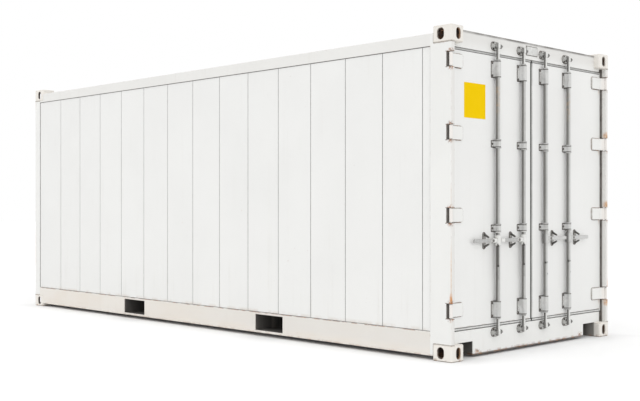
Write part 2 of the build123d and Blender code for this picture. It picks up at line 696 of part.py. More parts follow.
def door_gasket(side):
    """Flexible lip round the rim of one leaf, just short of the frame."""
    y_outer = JAMB_INNER_Y - GASKET_GAP
    y_inner = GASKET_CENTRE_GAP / 2
    z_low = SILL_TOP_Z + GASKET_GAP
    z_high = HEADER_BOTTOM_Z - GASKET_GAP
    with BuildPart() as gasket:
        with BuildSketch(Plane.YZ.offset(GASKET_FRONT_X)):
            with Locations((side * (y_outer + y_inner) / 2, (z_low + z_high) / 2)):
                Rectangle(y_outer - y_inner, z_high - z_low)
            width = LEAF_OUTER_Y - LEAF_INNER_Y
            height = LEAF_TOP_Z - LEAF_BOTTOM_Z
            middle_y = side * (LEAF_OUTER_Y + LEAF_INNER_Y) / 2
            with Locations((middle_y, (LEAF_TOP_Z + LEAF_BOTTOM_Z) / 2)):
                Rectangle(width, height, mode=Mode.SUBTRACT)
        extrude(amount=-GASKET_THICKNESS)
    return gasket


def blade_outline():
    """Plan of a hinge blade: flat on the leaf, then cranked outward to the pin."""
    half = BLADE_THICKNESS / 2
    flat_x = DOOR_FACE_X + half
    run_x = PIN_X - flat_x
    run_y = PIN_Y - BLADE_CRANK_Y
    run = math.hypot(run_x, run_y)
    across_x = run_y / run
    across_y = -run_x / run
    mitre = half / (1 + across_x)
    return [
        (flat_x - half, BLADE_REACH),
        (flat_x - mitre * (1 + across_x), BLADE_CRANK_Y - mitre * across_y),
        (PIN_X - half * across_x, PIN_Y - half * across_y),
        (PIN_X + half * across_x, PIN_Y + half * across_y),
        (flat_x + mitre * (1 + across_x), BLADE_CRANK_Y + mitre * across_y),
        (flat_x + half, BLADE_REACH),
    ]


def hinge_blades(side):
    """Four blades of one leaf, each ending in a knuckle round its pin."""
    with BuildPart() as blades:
        for z in hinge_heights():
            with BuildSketch(Plane.XY.offset(z - BLADE_HEIGHT / 2)):
                with BuildLine():
                    Polyline([(x, side * y) for x, y in blade_outline()], close=True)
                make_face()
                with Locations((PIN_X, side * PIN_Y)):
                    Circle(KNUCKLE_RADIUS)
                    Circle(PIN_RADIUS + PIN_CLEARANCE, mode=Mode.SUBTRACT)
            extrude(amount=BLADE_HEIGHT)
        ends = blades.edges().filter_by(Axis.X).group_by(Axis.Y)[0 if side > 0 else -1]
        fillet(ends, BLADE_CORNER_RADIUS)
    return blades


def locking_bar(side, offset):
    """Upright bar, turned to one profile, with a cam nose at each end."""
    y = side * offset
    long_half = LONG_GUIDE_HEIGHT / 2
    shoulder_low = LONG_GUIDE_CENTRES[0] - long_half
    shoulder_high = LONG_GUIDE_CENTRES[1] + long_half
    cam_half = CAM_HEIGHT / 2
    profile_plane = Plane(origin=(BAR_X, y, 0), x_dir=(1, 0, 0), z_dir=(0, -1, 0))
    outline = [
        (0, CAM_BOTTOM_Z - cam_half),
        (CAM_RADIUS - CAM_EDGE_RADIUS, CAM_BOTTOM_Z - cam_half),
        (CAM_RADIUS, CAM_BOTTOM_Z - cam_half + CAM_EDGE_RADIUS),
        (CAM_RADIUS, CAM_BOTTOM_Z + cam_half - CAM_EDGE_RADIUS),
        (BAR_NECK_RADIUS, CAM_BOTTOM_Z + cam_half),
        (BAR_NECK_RADIUS, shoulder_low),
        (BAR_RADIUS, shoulder_low),
        (BAR_RADIUS, shoulder_high),
        (BAR_NECK_RADIUS, shoulder_high),
        (BAR_NECK_RADIUS, CAM_TOP_Z - cam_half),
        (CAM_RADIUS, CAM_TOP_Z - cam_half + CAM_EDGE_RADIUS),
        (CAM_RADIUS, CAM_TOP_Z + cam_half - CAM_EDGE_RADIUS),
        (CAM_RADIUS - CAM_EDGE_RADIUS, CAM_TOP_Z + cam_half),
        (0, CAM_TOP_Z + cam_half),
    ]
    with BuildPart() as bar:
        with BuildSketch(profile_plane):
            with BuildLine():
                Polyline(outline, close=True)
            make_face()
        revolve(axis=Axis((BAR_X, y, 0), (0, 0, 1)))
        nose_run = CAM_NOSE_REACH - CAM_NOSE_THICKNESS / 2
        for z in (CAM_BOTTOM_Z, CAM_TOP_Z):
            with BuildSketch(Plane.XY.offset(z - CAM_NOSE_HEIGHT / 2)):
                with Locations((BAR_X, y + side * nose_run / 2)):
                    Rectangle(CAM_NOSE_THICKNESS, nose_run)
                with Locations((BAR_X, y + side * nose_run)):
                    Circle(CAM_NOSE_THICKNESS / 2)
            extrude(amount=CAM_NOSE_HEIGHT)
    return bar


def bar_guides(side):
    """Guides of one leaf: a flange each side and a body that narrows to an arch over the bar."""
    bore = BAR_RADIUS + BAR_CLEARANCE
    arch = bore + GUIDE_ARCH_WALL
    body = [
        (DOOR_FACE_X, -GUIDE_FOOT_WIDTH / 2),
        (DOOR_FACE_X, GUIDE_FOOT_WIDTH / 2),
        (BAR_X, arch),
        (BAR_X, -arch),
    ]
    levels = [(z, LONG_GUIDE_HEIGHT) for z in LONG_GUIDE_CENTRES]
    levels += [(z, SHORT_GUIDE_HEIGHT) for z in SHORT_GUIDE_CENTRES]
    with BuildPart() as guides:
        for offset in BAR_OFFSETS:
            y = side * offset
            for z, height in levels:
                with BuildSketch(Plane.XY.offset(z - height / 2)):
                    with Locations((DOOR_FACE_X + GUIDE_FLANGE / 2, y)):
                        Rectangle(GUIDE_FLANGE, GUIDE_WIDTH)
                    with BuildLine():
                        Polyline([(x, y + across) for x, across in body], close=True)
                    make_face()
                    with Locations((BAR_X, y)):
                        Circle(arch)
                        Circle(bore, mode=Mode.SUBTRACT)
                    with Locations((DOOR_FACE_X + BAR_STAND_OFF / 2, y)):
                        Rectangle(BAR_STAND_OFF, 2 * bore, mode=Mode.SUBTRACT)
                extrude(amount=height)
    return guides


def cam_keepers():
    """Keepers on header and sill: a base plate with a lug each side of the cam."""
    lug_inner = CAM_NOSE_REACH + KEEPER_LUG_GAP
    lug_outer = lug_inner + KEEPER_LUG_THICKNESS
    with BuildPart() as keepers:
        for side in (-1, 1):
            for offset in BAR_OFFSETS:
                for z in (CAM_BOTTOM_Z, CAM_TOP_Z):
                    y = side * offset
                    with BuildSketch(Plane.YZ.offset(DOOR_FACE_X)):
                        with Locations((y, z)):
                            RectangleRounded(2 * lug_outer, KEEPER_BASE_HEIGHT, KEEPER_BASE_RADIUS)
                    extrude(amount=KEEPER_BASE_THICKNESS)
                    for hand in (-1, 1):
                        block(
                            (DOOR_FACE_X, DOOR_FACE_X + KEEPER_LUG_PROJECTION),
                            (y + hand * lug_inner, y + hand * lug_outer),
                            (z - KEEPER_LUG_HEIGHT / 2, z + KEEPER_LUG_HEIGHT / 2),
                        )
        tips = keepers.edges().filter_by(Axis.Y).group_by(Axis.X)[-1]
        chamfer(tips, KEEPER_LUG_BEVEL)
    return keepers


def handle(side, offset):
    """Hub with two ears on the bar, and a flat lever held between the ears by a pivot pin."""
    y = side * offset
    neck_half = HANDLE_NECK_DEPTH / 2
    half = HANDLE_DEPTH / 2
    widen_end = HANDLE_NECK_LENGTH + HANDLE_DEPTH
    outline = [
        (y + side * HANDLE_ROOT, HANDLE_Z - neck_half),
        (y + side * HANDLE_NECK_LENGTH, HANDLE_Z - neck_half),
        (y + side * widen_end, HANDLE_Z - half),
        (y + side * HANDLE_LENGTH, HANDLE_Z - half),
        (y + side * HANDLE_LENGTH, HANDLE_Z + half),
        (y + side * widen_end, HANDLE_Z + half),
        (y + side * HANDLE_NECK_LENGTH, HANDLE_Z + neck_half),
        (y + side * HANDLE_ROOT, HANDLE_Z + neck_half),
    ]
    pivot = (y + side * PIVOT_DISTANCE, HANDLE_Z)
    ear_inner = HANDLE_THICKNESS / 2 + SEAT_GAP
    ear_outer = ear_inner + EAR_THICKNESS
    head = ear_outer + PIVOT_HEAD_THICKNESS
    with BuildPart() as lever:
        with BuildSketch(Plane.YZ.offset(BAR_X - HANDLE_THICKNESS / 2)):
            with BuildLine():
                Polyline(outline, close=True)
            make_face()
            with Locations(pivot):
                Circle(PIVOT_RADIUS + SEAT_GAP, mode=Mode.SUBTRACT)
        extrude(amount=HANDLE_THICKNESS)
        tip = lever.edges().filter_by(Axis.X).group_by(Axis.Y)[-1 if side > 0 else 0]
        fillet(tip, HANDLE_END_RADIUS)
        with BuildSketch(Plane.XY.offset(HANDLE_Z - HUB_HEIGHT / 2)):
            with Locations((BAR_X, y)):
                Circle(HUB_RADIUS)
        extrude(amount=HUB_HEIGHT)
        for hand in (-1, 1):
            with BuildSketch(Plane.YZ.offset(BAR_X + hand * ear_inner)):
                with Locations((y + side * PIVOT_DISTANCE / 2, HANDLE_Z)):
                    Rectangle(PIVOT_DISTANCE, EAR_HEIGHT)
                with Locations(pivot):
                    Circle(EAR_HEIGHT / 2)
            extrude(amount=hand * EAR_THICKNESS)
        with BuildSketch(Plane.YZ.offset(BAR_X - ear_outer)):
            with Locations(pivot):
                Circle(PIVOT_RADIUS)
        extrude(amount=2 * ear_outer)
        with BuildSketch(Plane.YZ.offset(BAR_X + ear_outer)):
            with Locations(pivot):
                Circle(PIVOT_HEAD_RADIUS)
        extrude(amount=head - ear_outer)
        with Locations((BAR_X, y, HANDLE_Z)):
            Cylinder(BAR_RADIUS + SEAT_GAP, HUB_HEIGHT + 2 * OVERRUN, mode=Mode.SUBTRACT)
    return lever


def handle_catches(side):
    """Two catches of one leaf: a rounded base with a slanted jaw above and below each handle."""
    jaw_low = HANDLE_DEPTH / 2 + CATCH_JAW_GAP
    base_x = DOOR_FACE_X
    tip_x = DOOR_FACE_X + CATCH_JAW_PROJECTION
    with BuildPart() as catches:
        for offset in BAR_OFFSETS:
            y = side * (offset + CATCH_DISTANCE)
            with BuildSketch(Plane.YZ.offset(DOOR_FACE_X)):
                with Locations((y, HANDLE_Z)):
                    RectangleRounded(CATCH_BASE_WIDTH, CATCH_BASE_HEIGHT, CATCH_BASE_RADIUS)
            extrude(amount=CATCH_BASE_THICKNESS)
            for hand in (-1, 1):
                jaw = [
                    (base_x, HANDLE_Z + hand * (jaw_low + CATCH_JAW_SPREAD)),
                    (tip_x, HANDLE_Z + hand * jaw_low),
                    (tip_x, HANDLE_Z + hand * (jaw_low + CATCH_JAW_TIP)),
                    (base_x, HANDLE_Z + hand * (jaw_low + CATCH_JAW_SPREAD + CATCH_JAW_ROOT)),
                ]
                with BuildSketch(Plane.XZ.offset(-y - CATCH_JAW_WIDTH / 2)):
                    with BuildLine():
                        Polyline(jaw, close=True)
                    make_face()
                extrude(amount=CATCH_JAW_WIDTH)
    return catches


def build_frame():
    """Castings, posts, beams, rails and the pieces of the base."""
    end_names = {"door_end": 1, "far_end": -1}
    level_names = {"lower": -1, "upper": 1}
    for end_name, end in end_names.items():
        for level_name, level in level_names.items():
            for side_name, side in DOOR_SIDES.items():
                name = "_".join(("casting", end_name, level_name, side_name))
                save(casting(end, side, level), name)
    for side_name, side in DOOR_SIDES.items():
        save(door_post(side), "door_post_" + side_name)
        save(bottom_rail(side), "bottom_side_rail_" + side_name)
        save(side_wall(side), "side_wall_" + side_name)
    save(far_posts(), "far_end_posts")
    save(door_header(), "door_header")
    save(door_sill(), "door_sill")
    save(far_beams(), "far_end_beams")
    save(top_rails(), "top_side_rails")
    save(fork_pockets(), "fork_pockets")
    save(cross_members(), "cross_members")
    save(floor_deck(), "floor_deck")
    save(far_wall(), "far_end_wall")
    save(roof(), "roof_panel")
    save(roof_end_strips(), "roof_end_strips")
    save(hinge_pins(), "hinge_pins")
    save(cam_keepers(), "cam_keepers")


def build_doors():
    """Both leaves with what is fixed to them, and their locking bars."""
    for side_name, side in DOOR_SIDES.items():
        save(door_leaf(side), side_name + "_door_leaf")
        save(door_gasket(side), side_name + "_door_gasket")
        save(hinge_blades(side), side_name + "_hinge_blades")
        save(bar_guides(side), side_name + "_bar_guides")
        save(handle_catches(side), side_name + "_handle_catches")
        for place_name, offset in zip(("outer", "inner"), BAR_OFFSETS):
            save(locking_bar(side, offset), "_".join((side_name, place_name, "locking_bar")))
            save(handle(side, offset), "_".join((side_name, place_name, "handle")))


os.makedirs("parts", exist_ok=True)
build_frame()
build_doors()
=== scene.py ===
"""Finishes, fastenings, seals and a studio stage for a packed shipping container."""

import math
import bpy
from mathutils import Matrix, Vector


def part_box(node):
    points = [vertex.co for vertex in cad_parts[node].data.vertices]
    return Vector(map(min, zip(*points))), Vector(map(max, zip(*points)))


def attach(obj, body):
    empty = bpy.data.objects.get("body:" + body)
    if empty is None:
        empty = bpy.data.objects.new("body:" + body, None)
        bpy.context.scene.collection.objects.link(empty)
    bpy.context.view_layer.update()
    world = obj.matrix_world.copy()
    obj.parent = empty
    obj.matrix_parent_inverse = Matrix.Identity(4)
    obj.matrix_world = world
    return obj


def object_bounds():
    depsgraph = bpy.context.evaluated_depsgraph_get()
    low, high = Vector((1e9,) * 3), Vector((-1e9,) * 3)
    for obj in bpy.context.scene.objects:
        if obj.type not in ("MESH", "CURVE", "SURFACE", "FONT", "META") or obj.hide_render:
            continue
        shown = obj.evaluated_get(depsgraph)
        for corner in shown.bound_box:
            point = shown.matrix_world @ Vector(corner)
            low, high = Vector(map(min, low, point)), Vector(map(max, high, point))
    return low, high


bl_info = {
    "name": "Shipping Container Dresser",
    "version": (1, 0, 0),
    "blender": (4, 5, 0),
    "location": "3D View > Sidebar > Container",
    "description": "Paints and fits out a shipping container and sets it on a studio floor",
    "category": "Object",
}

import bmesh
import bpy
import numpy as np

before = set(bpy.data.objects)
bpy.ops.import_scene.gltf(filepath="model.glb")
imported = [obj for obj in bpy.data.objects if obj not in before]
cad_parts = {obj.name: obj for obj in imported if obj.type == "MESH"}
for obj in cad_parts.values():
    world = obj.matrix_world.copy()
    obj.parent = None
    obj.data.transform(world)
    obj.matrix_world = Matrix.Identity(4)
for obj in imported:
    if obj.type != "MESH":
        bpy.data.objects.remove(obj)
CAD_BOX = [list(corner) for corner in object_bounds()]

# Places on the container in metres: x along it to the doors, y across, z up

HALF_LENGTH = CAD_BOX[1][0]
HALF_WIDTH = CAD_BOX[1][1]
TOP = CAD_BOX[1][2]
LEAF_LOW, LEAF_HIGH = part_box("right_door_leaf")
DOOR_FACE = LEAF_HIGH[0]
SILL_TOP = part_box("door_sill")[1][2]
HEADER_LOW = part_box("door_header")[0][2]
RAIL_LOW = 2.440
POST_LOW, POST_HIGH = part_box("door_post_right")
FAR_POST_FACE = 0.100 - POST_HIGH[0]
JAMB_INNER = 1.173
CASTING_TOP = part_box("casting_door_end_lower_right")[1][2]
CASTING_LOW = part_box("casting_door_end_upper_right")[0][2]
HOLE_LINES = (HALF_LENGTH - 0.1025, HALF_WIDTH - 0.0895)
WALL_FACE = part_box("side_wall_right")[1][1]
FIRST_SEAM = HALF_LENGTH - 0.281
SEAM_PITCH = 0.4015
SEAM_COUNT = 14

HINGE_HEIGHTS = tuple(TOP * share for share in (0.1513, 0.4346, 0.6812, 0.8973))
PIN_X = 3.010
POCKET_Y = 1.206
BLADE_ENDS = (1.005, 1.146)
BLADE_HALF = 0.0525
BLADE_CORNER = 0.013

OUTER_BAR = 0.55004
INNER_BAR = 0.16996
BAR_OFFSETS = (OUTER_BAR, INNER_BAR)
BARS = {
    "left_outer_bar": -OUTER_BAR,
    "left_inner_bar": -INNER_BAR,
    "right_inner_bar": INNER_BAR,
    "right_outer_bar": OUTER_BAR,
}
BAR_LINE = 3.002
LONG_GUIDES = (0.363, 2.303)
SHORT_GUIDES = (1.018, 1.700)
HANDLE_HEIGHT = 0.920
CATCH_REACH = 0.155
CAM_HEIGHTS = (0.177, 2.492)
GUIDE_FOOT = 0.006
KEEPER_FOOT = 0.005
PLATE_HEIGHT = 2.508
LABEL_MIDDLE = (-0.8295, 2.031)

SIDES = {"left": -1.0, "right": 1.0}
EVEN = (1.0, 1.0, 1.0)
WHITE = (1.0, 1.0, 1.0)
UPRIGHT = ((1, 0, 0), (0, 1, 0))
FACING_OUT = ((0, 1, 0), (0, 0, 1))
TO_DOORS = (1, 0, 0)
SHARP_OVER = math.radians(35.0)


# Shapes


def quads_between(rows, columns, close_rows=False, close_columns=True):
    """Corner numbers of the quads between neighbouring points of a grid."""
    row = np.arange(rows if close_rows else rows - 1)[:, None]
    column = np.arange(columns if close_columns else columns - 1)[None, :]
    row, after = row * columns, (row + 1) % rows * columns
    beside = (column + 1) % columns
    corners = (row + column, after + column, after + beside, row + beside)
    return np.stack(np.broadcast_arrays(*corners), -1).reshape(-1, 4)


def turned(profile, sides=12):
    """Surface of revolution: a profile point (radius, height, flats) goes to
    (r cos t, r sin t, height), where r is the radius, drawn in towards a hexagon by the share
    flats."""
    radius, height, flats = np.array(profile, float).T
    angle = np.arange(sides) * 2 * np.pi / sides
    hexagon = math.cos(math.pi / 6) / np.cos(np.mod(angle, math.pi / 3) - math.pi / 6)
    reach = radius[:, None] * (1 - flats[:, None] + flats[:, None] * hexagon)
    lift = np.broadcast_to(height[:, None], reach.shape)
    points = np.stack([reach * np.cos(angle), reach * np.sin(angle), lift], -1)
    return points.reshape(-1, 3), quads_between(len(radius), sides)


def rounded(width, height, corner, inset=0.0):
    """Outline of a rounded rectangle: its corner middles plus (corner - inset) times
    (cos t, sin t)."""
    steps = 4
    angle = (np.arange(4)[:, None] * np.pi / 2 + np.linspace(0, np.pi / 2, steps)).reshape(-1)
    across = np.repeat([1, -1, -1, 1], steps) * (width / 2 - corner)
    along = np.repeat([1, 1, -1, -1], steps) * (height / 2 - corner)
    round_way = np.stack([np.cos(angle), np.sin(angle)], -1)
    return np.stack([across, along], -1) + (corner - inset) * round_way


def plate(width, height, corner, thickness, bevel):
    """Plate with rounded corners: its rings are rounded rectangles, drawn in by the bevel at
    the front rim and drawn to a point in the middle of back and front."""
    side = thickness - bevel
    rings = ((0, 0, 0), (1, 0, 0), (1, 0, side), (1, bevel, thickness), (0, 0, thickness))
    layers = []
    for spread, inset, lift in rings:
        flat = spread * rounded(width, height, corner, inset)
        layers.append(np.concatenate([flat, np.full((len(flat), 1), lift)], 1))
    return np.stack(layers).reshape(-1, 3), quads_between(len(rings), len(flat))


def half_round(width, height, steps=5):
    """Closed profile (width / 2 cos t, height sin t) for t over half a turn, flat underneath."""
    angle = np.linspace(0, np.pi, steps)
    return np.stack([width / 2 * np.cos(angle), height * np.sin(angle)], -1)


def ring_profile(radius):
    """Closed eight-sided profile (radius cos t, radius sin t)."""
    angle = np.arange(8) * np.pi / 4
    return radius * np.stack([np.cos(angle), np.sin(angle)], -1)


def unit(rows):
    """Each row divided by its length."""
    return rows / np.linalg.norm(rows, axis=-1, keepdims=True)


def carried(path, profile, out, closed=False, swell=None):
    """Profile carried along a path: a profile point (a, b) goes to
    path + a * mitre * side + b * out, where side is the run of the path crossed with out, and
    mitre widens it at the path's corners."""
    path = np.array(path, float)
    out = unit(np.array(out, float))
    ahead = np.roll(path, -1, 0) - path
    behind = path - np.roll(path, 1, 0)
    if not closed:
        ahead[-1] = behind[-1]
        behind[0] = ahead[0]
    ahead = unit(ahead)
    run = unit(ahead + unit(behind))
    side = unit(np.cross(run, out))
    mitre = 1 / np.sum(run * ahead, 1)
    grow = np.ones(len(path)) if swell is None else swell
    across = (grow * mitre)[:, None, None] * profile[None, :, :1] * side[:, None]
    lift = grow[:, None, None] * profile[None, :, 1:] * out
    rows = path[:, None] + across + lift
    if not closed:
        first = np.broadcast_to(rows[0].mean(0), rows[:1].shape)
        last = np.broadcast_to(rows[-1].mean(0), rows[:1].shape)
        rows = np.concatenate([first, rows, last])
    return rows.reshape(-1, 3), quads_between(len(rows), len(profile), closed)


def weld(corners, out, width, height, pitch=0.014):
    """Rippled bead along straight runs between corners: a half-round profile whose size goes
    as 1 plus 0.16 and 0.08 times two sines of the length along the bead."""
    corners = np.array(corners, float)
    runs = []
    for start, end in zip(corners[:-1], corners[1:]):
        count = max(2, int(np.linalg.norm(end - start) / pitch))
        share = np.arange(count)[:, None] / count
        runs.append(start + share * (end - start))
    runs.append(corners[-1:])
    path = np.concatenate(runs)
    step = np.arange(len(path))
    ripple = 1 + 0.16 * np.sin(step * 2.4) + 0.08 * np.sin(step * 0.37)
    return carried(path, half_round(width, height), out, swell=ripple)


def placed(shape, spots, right, up):
    """Copies of one shape: its three axes turn to right, up and their cross product, then
    move to each spot."""
    points, quads = shape
    axes = np.array([right, up, np.cross(right, up)], float)
    spots = np.array(spots, float).reshape(-1, 1, 3)
    copies = ((points @ axes)[None] + spots).reshape(-1, 3)
    first = np.arange(len(spots))[:, None, None] * len(points)
    return copies, (quads[None] + first).reshape(-1, 4)


def either_side(levels, half):
    """The heights below and above each level by half."""
    return [level + lift for level in levels for lift in (-half, half)]


def fit(name, shapes, body, finish):
    """One object from several closed shapes, riding on a body, with its faces turned outwards
    and one of the finishes."""
    counts = np.cumsum([0] + [len(points) for points, quads in shapes])
    points = np.concatenate([points for points, quads in shapes])
    quads = np.concatenate([quads + first for (_, quads), first in zip(shapes, counts)])
    mesh = bpy.data.meshes.new(name)
    mesh.from_pydata(points.tolist(), [], quads.tolist())
    surface = bmesh.new()
    surface.from_mesh(mesh)
    bmesh.ops.remove_doubles(surface, verts=surface.verts, dist=1e-6)
    bmesh.ops.recalc_face_normals(surface, faces=surface.faces)
    surface.to_mesh(mesh)
    surface.free()
    mesh.polygons.foreach_set("use_smooth", np.ones(len(mesh.polygons), bool))
    mesh.set_sharp_from_angle(angle=SHARP_OVER)
    mesh.materials.append(FINISHES[finish])
    item = bpy.data.objects.new(name, mesh)
    bpy.context.scene.collection.objects.link(item)
    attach(item, body)


# Finishes


def shade(colour, share):
    """A share of a colour."""
    return tuple(part * share for part in colour)


class Nodes:
    """Node tree of a material or sky, with short ways to combine masks and colours."""

    def __init__(self, owner):
        owner.use_nodes = True
        self.tree = owner.node_tree
        self.tree.nodes.clear()

    def add(self, kind, **settings):
        """New node with its settings."""
        node = self.tree.nodes.new(kind)
        for key, value in settings.items():
            setattr(node, key, value)
        return node

    def join(self, source, socket):
        """Links an output to a socket, or writes a plain value on it."""
        if isinstance(source, bpy.types.NodeSocket):
            self.tree.links.new(source, socket)
        elif isinstance(source, tuple) and socket.type == "RGBA":
            socket.default_value = (*source[:3], 1.0)
        else:
            socket.default_value = source

    def math(self, operation, *values):
        """One sum on one to three values."""
        node = self.add("ShaderNodeMath", operation=operation)
        for value, socket in zip(values, node.inputs):
            self.join(value, socket)
        return node.outputs[0]

    def scaled(self, value, by, plus):
        """Value times by, plus plus."""
        return self.math("MULTIPLY_ADD", value, by, plus)

    def times(self, *values):
        """Product of masks."""
        result = values[0]
        for value in values[1:]:
            result = self.math("MULTIPLY", result, value)
        return result

    def most(self, *values):
        """The largest of several masks."""
        result = values[0]
        for value in values[1:]:
            result = self.math("MAXIMUM", result, value)
        return result

    def fade(self, value, low, high):
        """Soft step: 0 at low, 1 at high, either way round."""
        node = self.add("ShaderNodeMapRange", interpolation_type="SMOOTHSTEP")
        self.join(value, node.inputs["Value"])
        node.inputs["From Min"].default_value = low
        node.inputs["From Max"].default_value = high
        return node.outputs[0]

    def band(self, value, low, high, soft):
        """1 between low and high, fading to 0 over soft on both sides."""
        return self.times(self.fade(value, low - soft, low), self.fade(value, high + soft, high))

    def window(self, *limits):
        """Product of masks. Each entry is a value and its limits: two numbers are a fade from
        0 to 1, and three are the low end, high end and softness of a band."""
        masks = []
        for value, *spans in limits:
            for span in spans:
                step = self.band if len(span) == 3 else self.fade
                masks.append(step(value, *span))
        return self.times(*masks)

    def mixed(self, share, under, over):
        """Colour over laid on colour under by a share."""
        node = self.add("ShaderNodeMix", data_type="RGBA")
        for value, socket in ((share, 0), (under, 6), (over, 7)):
            self.join(value, node.inputs[socket])
        return node.outputs[2]

    def over(self, under, tint, *masks):
        """Tint laid on colour under by the product of masks."""
        return self.mixed(self.times(*masks), under, tint)

    def blended(self, share, under, over):
        """Number between under and over by a share."""
        node = self.add("ShaderNodeMix", data_type="FLOAT")
        for value, socket in ((share, 0), (under, 2), (over, 3)):
            self.join(value, node.inputs[socket])
        return node.outputs[0]

    def seen(self):
        """1 for rays that show the surface or sky itself, and 0 for the light that it gives."""
        rays = self.add("ShaderNodeLightPath")
        kinds = ("Is Camera Ray", "Is Glossy Ray", "Is Transmission Ray")
        return self.most(*(rays.outputs[kind] for kind in kinds))


class Finish(Nodes):
    """A node material on Object coordinates, built up from soft masks."""

    def __init__(self, name):
        self.material = bpy.data.materials.new(name)
        super().__init__(self.material)
        output = self.add("ShaderNodeOutputMaterial")
        self.shader = self.add("ShaderNodeBsdfPrincipled")
        self.join(self.shader.outputs[0], output.inputs["Surface"])
        self.place = self.add("ShaderNodeTexCoord").outputs["Object"]
        parts = self.add("ShaderNodeSeparateXYZ")
        self.join(self.place, parts.inputs[0])
        self.x, self.y, self.z = parts.outputs
        self.far_x = self.math("ABSOLUTE", self.x)
        self.far_y = self.math("ABSOLUTE", self.y)
        folded = self.add("ShaderNodeCombineXYZ")
        for value, socket in zip((self.x, self.far_y, self.z), folded.inputs):
            self.join(value, socket)
        self.folded = folded.outputs[0]

    def cloud(self, size, stretch=EVEN, detail=3.0, shift=0.0):
        """Noise with blobs about size across, longer where stretch is small."""
        moved = self.add("ShaderNodeVectorMath", operation="MULTIPLY_ADD")
        self.join(self.place, moved.inputs[0])
        moved.inputs[1].default_value = stretch
        moved.inputs[2].default_value = (shift, shift * 1.7, shift * 0.6)
        noise = self.add("ShaderNodeTexNoise")
        self.join(moved.outputs[0], noise.inputs["Vector"])
        noise.inputs["Scale"].default_value = 1 / size
        noise.inputs["Detail"].default_value = detail
        noise.inputs["Roughness"].default_value = 0.6
        return noise.outputs[0]

    def patches(self, size, low, high, stretch=EVEN, detail=3.0, shift=0.0):
        """Cloud that is 0 below low and 1 above high."""
        return self.fade(self.cloud(size, stretch, detail, shift), low, high)

    def speckled(self, colour, share, shift):
        """Blotches of zinc, and the colour, which drops to a share of itself between them."""
        blotches = self.patches(0.03, 0.3, 0.7, shift=shift)
        return blotches, self.mixed(blotches, shade(colour, share), colour)

    def near(self, centres, reach, stretch=EVEN, core=0.25, both_sides=True):
        """1 close to any of the centres and 0 past reach, measured on stretched coordinates."""
        stretched = self.add("ShaderNodeVectorMath", operation="MULTIPLY")
        self.join(self.folded if both_sides else self.place, stretched.inputs[0])
        stretched.inputs[1].default_value = stretch
        nearest = None
        for centre in centres:
            gap = self.add("ShaderNodeVectorMath", operation="DISTANCE")
            self.join(stretched.outputs[0], gap.inputs[0])
            gap.inputs[1].default_value = tuple(a * b for a, b in zip(centre, stretch))
            away = gap.outputs["Value"]
            nearest = away if nearest is None else self.math("MINIMUM", nearest, away)
        return self.fade(nearest, reach, reach * core)

    def at_levels(self, levels, half, soft):
        """1 within half of any of the heights, fading to 0 over soft."""
        bands = (self.band(self.z, level - half, level + half, soft) for level in levels)
        return self.most(*bands)

    def edges(self, width, full=0.80):
        """1 on sharp edges and 0 past width, from how far a rounded normal turns away."""
        rounded_normal = self.add("ShaderNodeBevel", samples=4)
        rounded_normal.inputs["Radius"].default_value = width
        flat = self.add("ShaderNodeNewGeometry").outputs["True Normal"]
        along = self.add("ShaderNodeVectorMath", operation="DOT_PRODUCT")
        self.join(rounded_normal.outputs[0], along.inputs[0])
        self.join(flat, along.inputs[1])
        return self.fade(along.outputs["Value"], 0.99, full)

    def round_bars(self):
        """Cosine of the turn from the front round the nearest locking bar, and the distance
        from its line."""
        ahead = self.math("SUBTRACT", self.x, BAR_LINE)
        gaps = (self.math("SUBTRACT", self.far_y, offset) for offset in BAR_OFFSETS)
        aside = self.math("MINIMUM", *(self.math("ABSOLUTE", gap) for gap in gaps))
        squares = self.math("ADD", self.times(ahead, ahead), self.times(aside, aside))
        away = self.math("SQRT", squares)
        return self.math("DIVIDE", ahead, away), away

    def done(self, colour, roughness, height=None, depth=0.001, metallic=0.0):
        """Connects colour, roughness and relief, and gives the material."""
        self.join(colour, self.shader.inputs["Base Color"])
        self.join(roughness, self.shader.inputs["Roughness"])
        self.shader.inputs["Metallic"].default_value = metallic
        if height is not None:
            relief = self.add("ShaderNodeBump")
            relief.inputs["Strength"].default_value = 1.0
            relief.inputs["Distance"].default_value = depth
            self.join(height, relief.inputs["Height"])
            self.join(relief.outputs[0], self.shader.inputs["Normal"])
        return self.material


def rust_colour(finish, shift=0.0):
    """Brown to orange by fine noise."""
    grain = finish.patches(0.02, 0.35, 0.65, detail=4.0, shift=shift + 3.0)
    return finish.mixed(grain, (0.085, 0.032, 0.014), (0.42, 0.17, 0.055))


